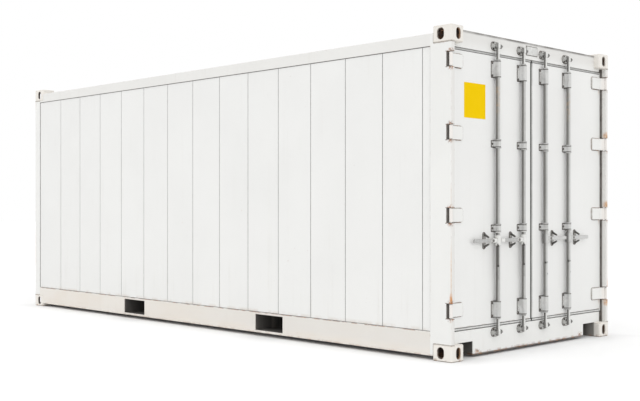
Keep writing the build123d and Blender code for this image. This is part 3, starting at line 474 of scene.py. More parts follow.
def painted(name, colour, roughness, wear, grime, marks=None, shift=0.0):
    """Steel under white paint: slow changes of tone, fine dirt running down, rust where the
    paint has worn from the edges, and the marks that a piece of its own adds. A mark is a
    mask, a tint and an amount, and one without a tint is rust."""
    finish = Finish(name)
    tone = finish.patches(0.85, 0.3, 0.7, detail=2.0, shift=shift)
    paint = finish.mixed(tone, shade(colour, 0.972), colour)
    runs = finish.patches(0.055, 0.52, 0.80, (1.0, 1.0, 0.05), shift=shift + 5.0)
    dirty = finish.patches(0.5, 0.38, 0.7, shift=shift + 9.0)
    low = finish.scaled(finish.fade(finish.z, 1.1, 0.05), 0.5, 0.35)
    paint = finish.over(paint, (0.52, 0.49, 0.43), low, runs, dirty, grime)
    specks = finish.patches(0.022, 0.74, 0.80, detail=1.0, shift=shift + 2.0)
    rare = finish.patches(0.35, 0.56, 0.70, detail=2.0, shift=shift + 7.0)
    chipped = finish.patches(0.045, 0.50, 0.66, shift=shift + 1.0)
    worn = finish.times(finish.edges(0.006), chipped, wear)
    rust = finish.most(worn, finish.times(specks, rare, wear))
    for mask, tint, amount in marks(finish) if marks else ():
        if tint is None:
            rust = finish.most(rust, finish.times(mask, amount))
        else:
            paint = finish.over(paint, tint, mask, amount)
    rust = finish.math("MINIMUM", rust, 1.0)
    surface = finish.mixed(rust, paint, rust_colour(finish, shift))
    gloss = finish.blended(rust, roughness, 0.86)
    peel = finish.times(finish.cloud(0.006, detail=1.0), 0.10)
    return finish.done(surface, gloss, finish.scaled(rust, -0.6, peel), 0.0012)


def wall_marks(finish):
    """Stain along the lower edge of the walls and a thin shade under the top rail."""
    foot = finish.fade(finish.z, SILL_TOP + 0.040, SILL_TOP)
    stain = finish.times(foot, finish.patches(0.12, 0.42, 0.62, shift=4.0))
    return [
        (stain, (0.50, 0.40, 0.30), 0.35),
        (finish.fade(finish.z, RAIL_LOW - 0.006, RAIL_LOW + 0.0015), (0.30, 0.27, 0.24), 0.45),
    ]


def leaf_marks(finish):
    """Dirt along the leaf's rim and runs of rust by the hinge blades."""
    below_blades = [(DOOR_FACE, 1.150, z - 0.060) for z in HINGE_HEIGHTS]
    rim = finish.most(finish.fade(finish.far_y, 1.146, 1.158), finish.fade(finish.z, 0.262, 0.248))
    dirty = finish.times(rim, finish.patches(0.09, 0.40, 0.62, shift=6.0))
    return [
        (dirty, (0.42, 0.34, 0.26), 0.45),
        (finish.near(below_blades, 0.030, (1.0, 1.0, 0.5)), (0.46, 0.30, 0.17), 0.35),
    ]


def hinge_marks(finish, speckle):
    """Painted shade in the hinge slots, lighter towards their back; rusty rims and rust round the
    hinge pockets, and rust that has run from them.
    """
    x, far_y = finish.x, finish.far_y
    ends = [(PIN_X, POCKET_Y, z) for z in either_side(HINGE_HEIGHTS, 0.062)]
    pocket = finish.times(finish.near(ends, 0.034), speckle)
    # Painted shade in the hinge slots.
    slot = finish.times(
        finish.at_levels(HINGE_HEIGHTS, 0.058, 0.001),
        finish.window((x, (2.972, 3.0205, 0.002)), (far_y, (1.2128, 1.2105), (1.165, 1.168))),
    )
    # Lighter painted shade towards the back of the slots.
    slot_left = finish.times(slot, finish.fade(x, 3.004, 2.976))
    rims = finish.times(
        finish.at_levels(either_side(HINGE_HEIGHTS, 0.060), 0.0025, 0.0015),
        finish.window((x, (2.966, 2.970)), (far_y, (1.168, 1.172))),
    )
    streak = finish.near([(3.019, 1.211, HINGE_HEIGHTS[0] + 0.088)], 0.017, (1.0, 1.0, 0.24))
    lifts = zip(HINGE_HEIGHTS, (-0.080, 0.085, 0.080))
    right_stains = [(3.020, 1.190, z + lift) for z, lift in lifts]
    stained = finish.near(right_stains, 0.040, (1.0, 1.0, 0.8), 0.3, both_sides=False)
    right = finish.fade(finish.y, 0.5, 0.6)
    stained = finish.times(stained, right, finish.scaled(speckle, 0.5, 0.5))
    return [
        (slot, (0.060, 0.050, 0.042), 0.90),
        (slot_left, (0.30, 0.285, 0.265), 0.60),
        (rims, (0.11, 0.062, 0.035), finish.scaled(speckle, 0.45, 0.45)),
        (pocket, None, 0.9),
        (finish.times(streak, finish.scaled(speckle, 0.3, 0.7)), (0.56, 0.22, 0.045), 0.95),
        (stained, (0.56, 0.30, 0.12), 0.9),
    ]


def frame_marks(finish):
    """Painted shade in the jambs, the hinge slots, the sill notches, along the foot of the door
    end, under the top rail and along the top of the header; rust round the hinge pockets, in the
    jambs, along seams and on the foot of the sill.
    """
    x, far_x, far_y, z = finish.x, finish.far_x, finish.far_y, finish.z
    speckle = finish.patches(0.018, 0.38, 0.60, shift=8.0)
    blotch = finish.patches(0.07, 0.44, 0.62, shift=2.0)
    # Painted shade in the jamb beside the leaf edge, dark brown and broken by blotches of rust.
    jamb = finish.window((far_y, (1.150, 1.1745, 0.002)), (x, (2.930, 2.984, 0.012)))
    jamb_film = finish.window(
        (far_y, (1.148, 1.150), (1.2135, 1.2105)), (x, (2.980, 3.030, 0.004))
    )
    # Painted shade in the notch at each end of the sill.
    notch = finish.window(
        (x, (2.9705, 2.9640), (2.800, 2.830)),
        (z, (0.140, 0.125)),
        (far_y, (0.840, 0.860), (1.080, 1.062)),
    )
    # Painted contact shade along the foot of the door end.
    under = finish.window((z, (0.034, 0.026)), (x, (2.90, 2.95)))
    foot = finish.times(finish.fade(z, 0.055, 0.022), blotch)
    sill_spot = finish.near([(DOOR_FACE, 0.800, 0.045)], 0.040, (1.0, 0.8, 1.2))

    between_posts = finish.window(
        (x, (POST_LOW[0] + 0.003, POST_LOW[0] - 0.003)),
        (x, (FAR_POST_FACE - 0.002, FAR_POST_FACE + 0.002)),
    )
    rail_high = finish.window((z, (RAIL_LOW + 0.0025, RAIL_LOW + 0.0040)), (far_y, (1.17, 1.18)))
    rail_low = finish.window((z, (SILL_TOP + 0.010, SILL_TOP - 0.017)), (far_y, (1.14, 1.16)))
    rail_low = finish.times(rail_low, between_posts)
    rail_tone = finish.patches(0.30, 0.35, 0.65, (0.5, 1.0, 1.0), shift=6.0)
    greyer = finish.times(rail_low, finish.window((z, (0.060, 0.120)), (x, (-1.5, 1.5))))
    seam = finish.times(
        finish.band(z, SILL_TOP - 0.0055, SILL_TOP - 0.0005, 0.002),
        finish.patches(0.10, 0.40, 0.54, detail=4.0, shift=1.0),
        between_posts,
    )
    shadow = (RAIL_LOW - 0.0005, RAIL_LOW + 0.0015, 0.001)
    under_rail = finish.window((z, shadow), (far_y, (1.19, 1.20)))

    corner_edge = finish.window((far_x, (3.0130, 3.0180)), (far_y, (1.2060, 1.2090)))
    corner_noise = finish.patches(0.22, 0.50, 0.62, (1.0, 1.0, 0.5), shift=3.0)
    corner_line = finish.times(corner_edge, corner_noise, finish.fade(z, 1.05, 1.30))
    low_line = finish.window((z, (0.46, 0.54), (0.98, 0.74)))
    low_line = finish.times(corner_edge, low_line, finish.scaled(speckle, 0.4, 0.6))
    on_header = finish.window((far_x, (2.95, 2.965)), (far_y, (1.075, 1.055)))
    # Painted shade along the top edge of the header, broken by dust.
    header_top = finish.times(on_header, finish.fade(z, 2.550, 2.568))
    header_shade_and_dust = finish.patches(0.10, 0.35, 0.60, (1.0, 0.4, 1.0), 4.0, 7.0)
    header_face = finish.times(on_header, finish.fade(z, HEADER_LOW - 0.01, HEADER_LOW + 0.09))
    return [
        (rail_low, (0.745, 0.695, 0.630), finish.scaled(rail_tone, 0.30, 0.65)),
        (greyer, (0.70, 0.685, 0.655), 0.55),
        (finish.times(rail_high, between_posts), (0.62, 0.59, 0.56), 0.20),
        (header_face, (0.62, 0.60, 0.575), 0.42),
        (header_top, (0.17, 0.16, 0.15), finish.scaled(header_shade_and_dust, 0.40, 0.58)),
        (jamb_film, (0.58, 0.545, 0.51), 0.26),
        (jamb, (0.060, 0.046, 0.036), finish.scaled(blotch, 0.10, 0.86)),
        *hinge_marks(finish, speckle),
        (notch, (0.035, 0.030, 0.026), 0.96),
        (under, (0.060, 0.052, 0.045), 0.90),
        (finish.times(under_rail, between_posts), (0.10, 0.085, 0.07), 0.80),
        (foot, None, 0.65),
        (finish.times(sill_spot, speckle), None, 0.8),
        (seam, None, 0.60),
        (corner_line, (0.60, 0.38, 0.20), 0.30),
        (low_line, (0.62, 0.40, 0.22), 0.42),
    ]


def blade_marks(finish):
    """Dark outline of each hinge blade, rust together with painted shade, strongest on the lower
    edge of the lowest.
    """
    # Dark outline along the blade edges: rust together with painted shade.
    rim = finish.edges(0.006, 0.90)
    broken = finish.scaled(finish.patches(0.04, 0.38, 0.60, shift=6.0), 0.45, 0.50)
    lower = finish.fade(finish.z, HINGE_HEIGHTS[0] - 0.044, HINGE_HEIGHTS[0] - 0.051)
    knuckle = finish.window(
        (finish.x, (DOOR_FACE + 0.004, DOOR_FACE + 0.012)), (finish.far_y, (1.150, 1.165))
    )
    return [
        (knuckle, (0.80, 0.74, 0.69), 0.5),
        (finish.times(rim, broken), (0.105, 0.070, 0.048), 0.85),
        (finish.times(rim, lower), (0.07, 0.045, 0.03), 0.6),
    ]


def casting_marks(finish):
    """Painted shade inside the castings with rust over it, a painted lit wall in each side hole,
    rust on the walls of the end holes, painted shade in the notch beside the sill with a painted
    skylit patch, a painted contact shade at the foot, and stains below their holes, placed by the
    depth from the end face, from the side face and from the nearer of foot and top."""
    x, z = finish.x, finish.z
    end = finish.math("SUBTRACT", HALF_LENGTH, finish.far_x)
    side = finish.math("SUBTRACT", HALF_WIDTH, finish.far_y)
    cap = finish.math("MINIMUM", z, finish.math("SUBTRACT", TOP, z))
    # Painted shade deep inside the castings; rust grain is laid over it below.
    inside = finish.window(
        (end, (0.003, 0.016), (0.175, 0.169)),
        (side, (0.003, 0.016), (0.159, 0.153)),
        (cap, (0.002, 0.012), (0.127, 0.120)),
    )
    hole_height = (cap, (0.012, 0.016), (0.118, 0.114))
    # Painted light on the lit wall of each side hole.
    hole_side = finish.window(
        hole_height,
        (end, (0.108, 0.118), (0.145, 0.141)),
        (side, (0.025, 0.016), (0.001, 0.003)),
    )
    hole_end = finish.window(
        hole_height,
        (side, (0.098, 0.108), (0.130, 0.126)),
        (end, (0.028, 0.018), (0.001, 0.003)),
    )
    # Painted shade in the notch beside the sill; skylit is a painted lit patch on it.
    notch_side = finish.window(
        (x, (2.976, 2.962), (2.800, 2.830)), (finish.far_y, (1.068, 1.060)), (z, (0.140, 0.132))
    )
    skylit = finish.times(notch_side, finish.window((x, (2.86, 2.92)), (finish.y, (0.5, 0.6))))
    faces = ((HOLE_LINES[0], HALF_WIDTH), (HALF_LENGTH, HOLE_LINES[1]))
    holes = [(*face, foot + 0.012) for foot in (0.0, CASTING_LOW) for face in faces]
    stains = finish.near(holes, 0.045, (1.0, 1.0, 0.8))
    blotch = finish.patches(0.05, 0.50, 0.66, shift=5.0)
    grain = finish.patches(0.025, 0.45, 0.62, shift=9.0)
    outline = finish.scaled(finish.patches(0.06, 0.35, 0.60, shift=2.0), 0.5, 0.4)
    return [
        (finish.times(finish.edges(0.007, 0.93), outline), (0.40, 0.32, 0.25), 0.62),
        (notch_side, (0.045, 0.040, 0.035), 0.92),
        (skylit, (0.30, 0.285, 0.265), 0.80),
        # Painted contact shade at the foot of the lower castings.
        (finish.fade(z, 0.0085, 0.004), (0.20, 0.165, 0.13), 0.75),
        (finish.times(stains, blotch), None, 0.40),
        (finish.times(finish.fade(z, 0.030, 0.004), blotch), None, 0.6),
        (inside, (0.050, 0.030, 0.020), 0.97),
        (finish.times(inside, grain), (0.30, 0.13, 0.045), 0.45),
        (hole_side, (0.30, 0.275, 0.25), 0.75),
        (hole_end, (0.40, 0.20, 0.08), 0.70),
    ]


def bare_metal(name, colour, roughness, metallic, grime, shift=0.0, rust=0.25):
    """Zinc-coated steel: pale blotches, dull dirt and a little rust at the edges."""
    finish = Finish(name)
    _, metal = finish.speckled(colour, 0.82, shift)
    dull = finish.patches(0.11, 0.44, 0.68, (1.0, 1.0, 0.35), shift=shift + 4.0)
    metal = finish.over(metal, shade(colour, 0.45), dull, grime)
    flecks = finish.patches(0.03, 0.52, 0.66, detail=2.0, shift=shift + 6.0)
    spots = finish.times(finish.edges(0.004), flecks, rust)
    surface = finish.mixed(spots, metal, rust_colour(finish, shift))
    gloss = finish.blended(dull, roughness, min(0.9, roughness + 0.22))
    gloss = finish.blended(spots, gloss, 0.88)
    relief = finish.times(finish.cloud(0.008, detail=2.0, shift=shift), 0.25)
    return finish.done(surface, gloss, relief, 0.0008, metallic)


def bar_metal(colour):
    """Zinc of the locking bars: bright in front, with painted shade round the sides and the back,
    by the cosine of the turn away from the front and darkest behind, broken by dark runs of old
    dirt that also make those sides duller; and a painted highlight on the front of the necks."""
    finish = Finish("locking bar zinc")
    _, metal = finish.speckled(colour, 0.88, 7.0)
    runs = finish.patches(0.10, 0.42, 0.70, (1.0, 1.0, 0.15), shift=4.0)
    metal = finish.over(metal, (0.20, 0.185, 0.165), runs, 0.25)
    facing, _ = finish.round_bars()
    # Painted shade round the sides and back of each bar, by the turn away from the front, broken by
    # the runs; it also makes them duller.
    shade_and_grease = finish.times(finish.fade(facing, 0.86, 0.50), finish.scaled(runs, 0.10, 0.86))
    deep = finish.fade(facing, 0.30, -0.40)
    side_shade = finish.mixed(deep, (0.21, 0.205, 0.195), (0.125, 0.120, 0.113))
    surface = finish.mixed(shade_and_grease, metal, side_shade)
    low, high = LONG_GUIDES
    # Painted highlight: the front of each bar's necks, beyond the long guides, is lightened.
    necks = finish.most(
        finish.fade(finish.z, low - 0.064, low - 0.070),
        finish.fade(finish.z, high + 0.064, high + 0.070),
    )
    surface = finish.over(surface, (0.76, 0.76, 0.74), necks, finish.fade(facing, 0.60, 0.90), 0.80)
    warm = finish.near([(BAR_LINE, OUTER_BAR, 2.07)], 0.16)
    flecks = finish.patches(0.03, 0.42, 0.60, shift=1.0)
    surface = finish.over(surface, (0.50, 0.33, 0.18), warm, flecks, 0.35)
    gloss = finish.blended(shade_and_grease, 0.30, 0.70)
    return finish.done(surface, gloss, finish.times(runs, 0.2), 0.0006, 0.35)


def outlined_metal(name, colour, base_colour, base_rise, shift, ends=()):
    """Zinc over a paler foot that is as thick as base_rise above the door, with a broken dark line
    along every edge and at the heights where the pieces end, dirt together with painted shade, and,
    where ends are given, a painted highlight on the front of the arches."""
    finish = Finish(name)
    spangle, metal = finish.speckled(colour, 0.86, shift)
    # Dark line along every edge: dirt together with painted shade.
    rim = finish.edges(0.0055, 0.90)
    if ends:
        facing, _ = finish.round_bars()
        # Painted highlight on the front of each guide arch, by the turn round the nearest bar.
        metal = finish.over(metal, (0.66, 0.66, 0.64), finish.fade(facing, 0.62, 0.90), 0.50)
        rim = finish.most(rim, finish.at_levels(ends, 0.005, 0.001))
    base = finish.mixed(spangle, shade(base_colour, 0.92), base_colour)
    base_top = DOOR_FACE + base_rise
    surface = finish.mixed(finish.fade(finish.x, base_top + 0.0012, base_top + 0.0002), metal, base)
    runs = finish.patches(0.05, 0.46, 0.70, (1.0, 1.0, 0.3), shift=shift + 2.0)
    surface = finish.over(surface, (0.16, 0.15, 0.135), runs, 0.30)
    broken = finish.patches(0.02, 0.35, 0.60, detail=2.0, shift=shift + 6.0)
    surface = finish.over(surface, (0.075, 0.068, 0.060), rim, finish.scaled(broken, 0.30, 0.62))
    relief = finish.times(finish.cloud(0.008, detail=2.0), 0.2)
    return finish.done(surface, finish.blended(rim, 0.42, 0.75), relief, 0.0006, 0.3)


def handle_metal():
    """Pale zinc on the left hubs and ears; darker on the right ones, with painted shade round their
    sides; dull light grey along the levers, lighter on the right door as painted light; dark
    lubricant at the pivots; and a dark line along the edges, dirt together with painted shade."""
    finish = Finish("handle pale zinc")
    spangle = finish.patches(0.03, 0.3, 0.7, shift=9.0)
    hubs = [(BAR_LINE, offset, HANDLE_HEIGHT) for offset in BAR_OFFSETS]
    hub = finish.near(hubs, 0.105, core=0.85)
    right = finish.fade(finish.y, -0.01, 0.01)
    facing, away = finish.round_bars()
    # Painted shade round the sides of the hubs, by the turn round the bar.
    side_shade = finish.window((away, (0.034, 0.028)), (facing, (0.85, 0.35)))
    pale = finish.mixed(spangle, (0.70, 0.70, 0.68), (0.78, 0.78, 0.76))
    # Painted shade: the right hubs are darkened, and darker still round their sides.
    pale = finish.over(pale, (0.42, 0.42, 0.41), right, 0.55)
    pale = finish.over(pale, (0.14, 0.135, 0.13), right, side_shade, 0.90)
    dull = finish.mixed(spangle, (0.40, 0.40, 0.39), (0.49, 0.49, 0.48))
    # Painted light: the levers on the right door are lightened.
    dull = finish.over(dull, (0.64, 0.64, 0.63), right, 0.6)
    metal = finish.mixed(hub, dull, pale)
    pivots = [(BAR_LINE + 0.012, offset + 0.076, HANDLE_HEIGHT) for offset in BAR_OFFSETS]
    metal = finish.over(metal, (0.10, 0.09, 0.08), finish.near(pivots, 0.016, core=0.6), 0.85)
    # Dark line along the edges: dirt together with painted shade.
    metal = finish.over(metal, (0.14, 0.13, 0.12), finish.edges(0.0045, 0.92), 0.55)
    flecks = finish.patches(0.03, 0.48, 0.62, detail=2.0, shift=6.0)
    surface = finish.over(metal, rust_colour(finish, 2.0), finish.edges(0.004), flecks, 0.45)
    gloss = finish.blended(hub, 0.45, 0.38)
    return finish.done(surface, gloss, finish.times(spangle, 0.2), 0.0006, 0.2)


def rubber(name, colour, shift=0.0, header_shade=0.0):
    """Weathered rubber: chalky high spots, darker and smoother where it bends, and a painted shade
    under the header."""
    finish = Finish(name)
    chalk = finish.patches(0.05, 0.40, 0.72, (1.0, 1.0, 0.3), shift=shift)
    fine = finish.patches(0.009, 0.35, 0.7, detail=2.0, shift=shift + 3.0)
    chalky = tuple(min(1.0, part * 1.5 + 0.02) for part in colour)
    surface = finish.over(colour, chalky, chalk, 0.45)
    surface = finish.over(surface, shade(colour, 0.6), fine, 0.25)
    # Painted shade on the rubber under the header.
    if header_shade:
        header_shade_mask = finish.fade(finish.z, HEADER_LOW - 0.06, HEADER_LOW - 0.03)
        surface = finish.over(surface, (0.16, 0.155, 0.15), header_shade_mask, header_shade)
    gloss = finish.blended(chalk, 0.52, 0.78)
    return finish.done(surface, gloss, finish.times(fine, 0.3), 0.0006)


def sticker(name, colour):
    """Vinyl film: even colour, faded a little in patches, lightly scuffed."""
    finish = Finish(name)
    faded = finish.patches(0.12, 0.35, 0.72)
    surface = finish.over(colour, shade(colour, 0.93), faded, 0.25)
    scuffs = finish.patches(0.02, 0.68, 0.80, (1.0, 0.25, 1.0), 4.0, 2.0)
    surface = finish.over(surface, (0.75, 0.66, 0.35), scuffs, 0.10)
    finish.shader.inputs["Specular IOR Level"].default_value = 0.04
    gloss = finish.blended(faded, 0.55, 0.70)
    return finish.done(surface, gloss, finish.times(scuffs, 0.3), 0.0004)


def rusty_bead():
    """Weld bead round a hinge blade: paint left on its crown, brown rust and dirt elsewhere, most
    of all at the foot, where it is also painted shade under the blade."""
    finish = Finish("hinge blade weld bead")
    left = finish.patches(0.05, 0.40, 0.62, shift=3.0)
    # Browner at the foot of each blade: rust and dirt together with painted shade.
    feet = [(DOOR_FACE, 1.07, z - BLADE_HALF) for z in HINGE_HEIGHTS]
    foot = finish.near(feet, 0.100, (1.0, 1.0, 2.5), 0.7)
    bare = finish.scaled(foot, 0.45, finish.scaled(left, 0.40, 0.52))
    bare = finish.math("MINIMUM", bare, 1.0)
    brown = finish.mixed(left, (0.075, 0.050, 0.036), (0.20, 0.11, 0.06))
    surface = finish.mixed(bare, (0.60, 0.58, 0.54), brown)
    return finish.done(surface, finish.blended(bare, 0.5, 0.85), finish.times(left, -0.5))


FINISHES = {}


def make_finishes(paint):
    """All the materials, kept by name for the operators that follow."""
    white = tuple(paint.panel_colour)
    steel = tuple(paint.frame_colour)
    cream = tuple(paint.casting_colour)
    zinc = tuple(paint.zinc_colour)
    foot = (0.66, 0.66, 0.64)
    rust, dirt = paint.rust, paint.dirt
    guide_ends = either_side(LONG_GUIDES, 0.0645) + either_side(SHORT_GUIDES, 0.0255)
    wall_rust = rust * 0.35
    dark_zinc, catch_foot = (0.085, 0.080, 0.074), (0.42, 0.41, 0.39)
    FINISHES.update(
        panel=painted("panel white paint", white, 0.40, wall_rust, dirt * 0.6, wall_marks),
        leaf=painted("door leaf white paint", white, 0.38, wall_rust, dirt * 0.5, leaf_marks, 11.0),
        frame=painted("frame white paint", steel, 0.44, rust, dirt, frame_marks, 21.0),
        casting=painted("casting cream paint", cream, 0.5, rust * 1.25, dirt, casting_marks, 31.0),
        blade=painted("hinge blade white paint", steel, 0.42, rust, dirt, blade_marks, 41.0),
        underside=painted(
            "underside grey paint", (0.20, 0.195, 0.185), 0.65, rust * 1.3, 1.0, shift=51.0
        ),
        # The fork pockets are darkened inside: painted shade.
        pocket=painted("fork pocket paint with painted shade", (0.115, 0.108, 0.100), 0.7, rust, 0.6, shift=55.0),
        # The weld beads at the castings are painted dark: a painted shade line where the castings
        # meet the posts.
        bead=painted("weld bead paint", (0.40, 0.37, 0.335), 0.55, rust * 1.4, dirt, shift=61.0),
        rusty_bead=rusty_bead(),
        zinc=bare_metal("zinc coated steel", zinc, 0.38, 0.75, 0.35),
        dark=bare_metal("catch dark steel", (0.10, 0.095, 0.09), 0.5, 0.6, 0.4, 13.0),
        bolt=bare_metal("bolt dull zinc", (0.16, 0.15, 0.14), 0.45, 0.7, 0.5, 17.0, 0.5),
        deck=bare_metal("floor aluminium", (0.70, 0.71, 0.72), 0.36, 0.9, 0.3, 23.0, 0.0),
        plate=bare_metal("bare plate aluminium", (0.74, 0.74, 0.72), 0.45, 0.3, 0.15, 27.0, 0.1),
        guide=outlined_metal("bar guide zinc", zinc, foot, GUIDE_FOOT, 71.0, guide_ends),
        keeper=outlined_metal(
            "cam keeper zinc", (0.50, 0.50, 0.485), (0.66, 0.655, 0.63), KEEPER_FOOT, 73.0
        ),
        catch=outlined_metal("handle catch zinc", dark_zinc, catch_foot, GUIDE_FOOT, 75.0),
        bar=bar_metal(tuple(paint.bar_colour)),
        hub=handle_metal(),
        gasket=rubber("door gasket rubber", (0.045, 0.043, 0.040)),
        # The light grey lips take a painted shade under the header.
        lip=rubber("gasket lip grey rubber", (0.60, 0.60, 0.585), 5.0, 0.38),
        sealant=rubber("seam sealant", (0.115, 0.112, 0.108), 8.0),
        # Dark beads round the hardware and the header plate: dirt together with painted contact
        # shade.
        stain=rubber("hardware edge dirt and painted shade", (0.085, 0.072, 0.060), 12.0),
        label=sticker("yellow label film", tuple(paint.label_colour)),
    )


NODE_FINISHES = {
    "casting": "casting",
    "door_leaf": "leaf",
    "side_wall": "panel",
    "far_end_wall": "panel",
    "roof": "panel",
    "hinge_blades": "blade",
    "hinge_pins": "zinc",
    "fork_pockets": "pocket",
    "cross_members": "underside",
    "floor_deck": "deck",
    "locking_bar": "bar",
    "bar_guides": "guide",
    "cam_keepers": "keeper",
    "handle_catches": "catch",
    "handle": "hub",
    "gasket": "gasket",
}


def finish_of(node):
    """The finish that a CAD node takes, by the first of these words in its name."""
    return next((kind for word, kind in NODE_FINISHES.items() if word in node), "frame")


# Settings


class PaintSettings(bpy.types.PropertyGroup):
    """Colours and wear of the container."""

    panel_colour: bpy.props.FloatVectorProperty(
        name="Panel colour", description="Paint of the walls, roof and doors",
        subtype="COLOR", size=3, min=0, max=1, default=(0.80, 0.80, 0.785),
    )
    frame_colour: bpy.props.FloatVectorProperty(
        name="Frame colour", description="Paint of posts, rails and beams",
        subtype="COLOR", size=3, min=0, max=1, default=(0.80, 0.80, 0.78),
    )
    casting_colour: bpy.props.FloatVectorProperty(
        name="Casting colour", description="Paint of the corner castings",
        subtype="COLOR", size=3, min=0, max=1, default=(0.79, 0.76, 0.71),
    )
    zinc_colour: bpy.props.FloatVectorProperty(
        name="Guide colour", description="Zinc coat of guides and hinge pins",
        subtype="COLOR", size=3, min=0, max=1, default=(0.58, 0.58, 0.57),
    )
    bar_colour: bpy.props.FloatVectorProperty(
        name="Bar colour", description="Zinc coat of the locking bars",
        subtype="COLOR", size=3, min=0, max=1, default=(0.56, 0.56, 0.545),
    )
    label_colour: bpy.props.FloatVectorProperty(
        name="Label colour", description="Film of the bare label on the left door",
        subtype="COLOR", size=3, min=0, max=1, default=(0.84, 0.56, 0.0),
    )
    rust: bpy.props.FloatProperty(
        name="Rust", description="How much rust shows through the paint",
        subtype="FACTOR", min=0, max=1, default=0.6,
    )
    dirt: bpy.props.FloatProperty(
        name="Dirt", description="How much dirt has run down the paint",
        subtype="FACTOR", min=0, max=1, default=0.5,
    )


class FastenerSettings(bpy.types.PropertyGroup):
    """Sizes of the small parts."""

    bolt_width: bpy.props.FloatProperty(
        name="Bolt width", description="Across the corners of a bolt head",
        unit="LENGTH", min=0.004, max=0.03, default=0.015,
    )
    bolt_height: bpy.props.FloatProperty(
        name="Bolt height", description="Height of a bolt head",
        unit="LENGTH", min=0.002, max=0.02, default=0.006,
    )
    bead_width: bpy.props.FloatProperty(
        name="Weld width", description="Width of a weld bead",
        unit="LENGTH", min=0.002, max=0.02, default=0.009,
    )
    lip_width: bpy.props.FloatProperty(
        name="Lip width", description="Width of the gasket's raised lip",
        unit="LENGTH", min=0.002, max=0.02, default=0.0155,
    )


class StageSettings(bpy.types.PropertyGroup):
    """Camera and light."""

    lens: bpy.props.FloatProperty(
        name="Lens", description="Focal length of the camera",
        unit="CAMERA", min=10, max=200, default=56.34,
    )
    sky_level: bpy.props.FloatProperty(
        name="Sky level", description="Strength of the even light from all round",
        min=0, max=3, default=0.85,
    )
    key_strength: bpy.props.FloatProperty(
        name="Key strength", description="Strength of the soft sun right of the doors",
        min=0, max=10, default=0.62,
    )
    fill_strength: bpy.props.FloatProperty(
        name="Fill strength", description="Strength of the soft sun by the long side",
        min=0, max=10, default=0.66,
    )


# Operators


class PaintContainer(bpy.types.Operator):
    """Gives every part of the frame its finish"""

    bl_idname = "container.paint"
    bl_label = "Paint the container"

    def execute(self, context):
        make_finishes(context.scene.container_paint)
        for name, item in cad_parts.items():
            material = FINISHES[finish_of(name)]
            if not item.material_slots:
                item.data.materials.append(material)
            for slot in item.material_slots:
                slot.material = material
        return {"FINISHED"}


class AddBolts(bpy.types.Operator):
    """Adds the bolts of guides, catches and keepers"""

    bl_idname = "container.bolts"
    bl_label = "Add the bolts"

    def execute(self, context):
        sizes = context.scene.container_fasteners
        reach, rise = sizes.bolt_width / 2, sizes.bolt_height
        washer = [(0, 0, 0), (reach * 1.3, 0, 0), (reach * 1.3, rise * 0.25, 0)]
        flats = [(reach, rise * 0.3, 1), (reach, rise * 0.8, 1)]
        head = turned(washer + flats + [(reach * 0.72, rise, 0), (0, rise, 0)])
        face = DOOR_FACE + GUIDE_FOOT
        guide_rows = either_side(LONG_GUIDES, 0.051) + list(SHORT_GUIDES)
        catch_rows = either_side([HANDLE_HEIGHT], 0.053)
        for side, hand in SIDES.items():
            spots = []
            for offset in BAR_OFFSETS:
                columns = either_side([hand * offset], 0.0455)
                spots += [(face, y, z) for y in columns for z in guide_rows]
                spots += [(face, hand * (offset + CATCH_REACH), z) for z in catch_rows]
            bolts = placed(head, spots, *FACING_OUT)
            fit(side + "_door_bolts", [bolts], side + "_door", "bolt")
        spots = [
            (DOOR_FACE + KEEPER_FOOT, y + across, z + lift)
            for y in BARS.values()
            for z in CAM_HEIGHTS
            for across in (-0.030, 0.030)
            for lift in (-0.0245, 0.0245)
        ]
        bolts = placed(head, spots, *FACING_OUT)
        fit("keeper_bolts", [bolts], "root", "bolt")
        return {"FINISHED"}


class AddSealLips(bpy.types.Operator):
    """Adds the raised lips of the door gaskets"""

    bl_idname = "container.seal_lips"
    bl_label = "Add the gasket lips"

    def execute(self, context):
        width = context.scene.container_fasteners.lip_width
        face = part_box("right_door_gasket")[1][0] - 0.001
        low = (SILL_TOP + LEAF_LOW[2]) / 2
        high = (HEADER_LOW + LEAF_HIGH[2]) / 2
        outer = (JAMB_INNER + LEAF_HIGH[1]) / 2
        wide = half_round(width, 0.0055, 7)
        centre_lips = {
            "left": (half_round(width * 0.8, 0.005, 7), "gasket"),
            "right": (wide, "lip"),
        }
        for side, hand in SIDES.items():
            inner = hand * 0.012
            turns = ((inner, low), (hand * outer, low), (hand * outer, high), (inner, high))
            lip = carried([(face, y, z) for y, z in turns], wide, TO_DOORS)
            fit(side + "_seal_lips", [lip], side + "_door", "lip")
            section, tone = centre_lips[side]
            strip = [(face, inner, low + width), (face, inner, high - width)]
            centre = carried(strip, section, TO_DOORS)
            fit(side + "_centre_lip", [centre], side + "_door", tone)
        return {"FINISHED"}


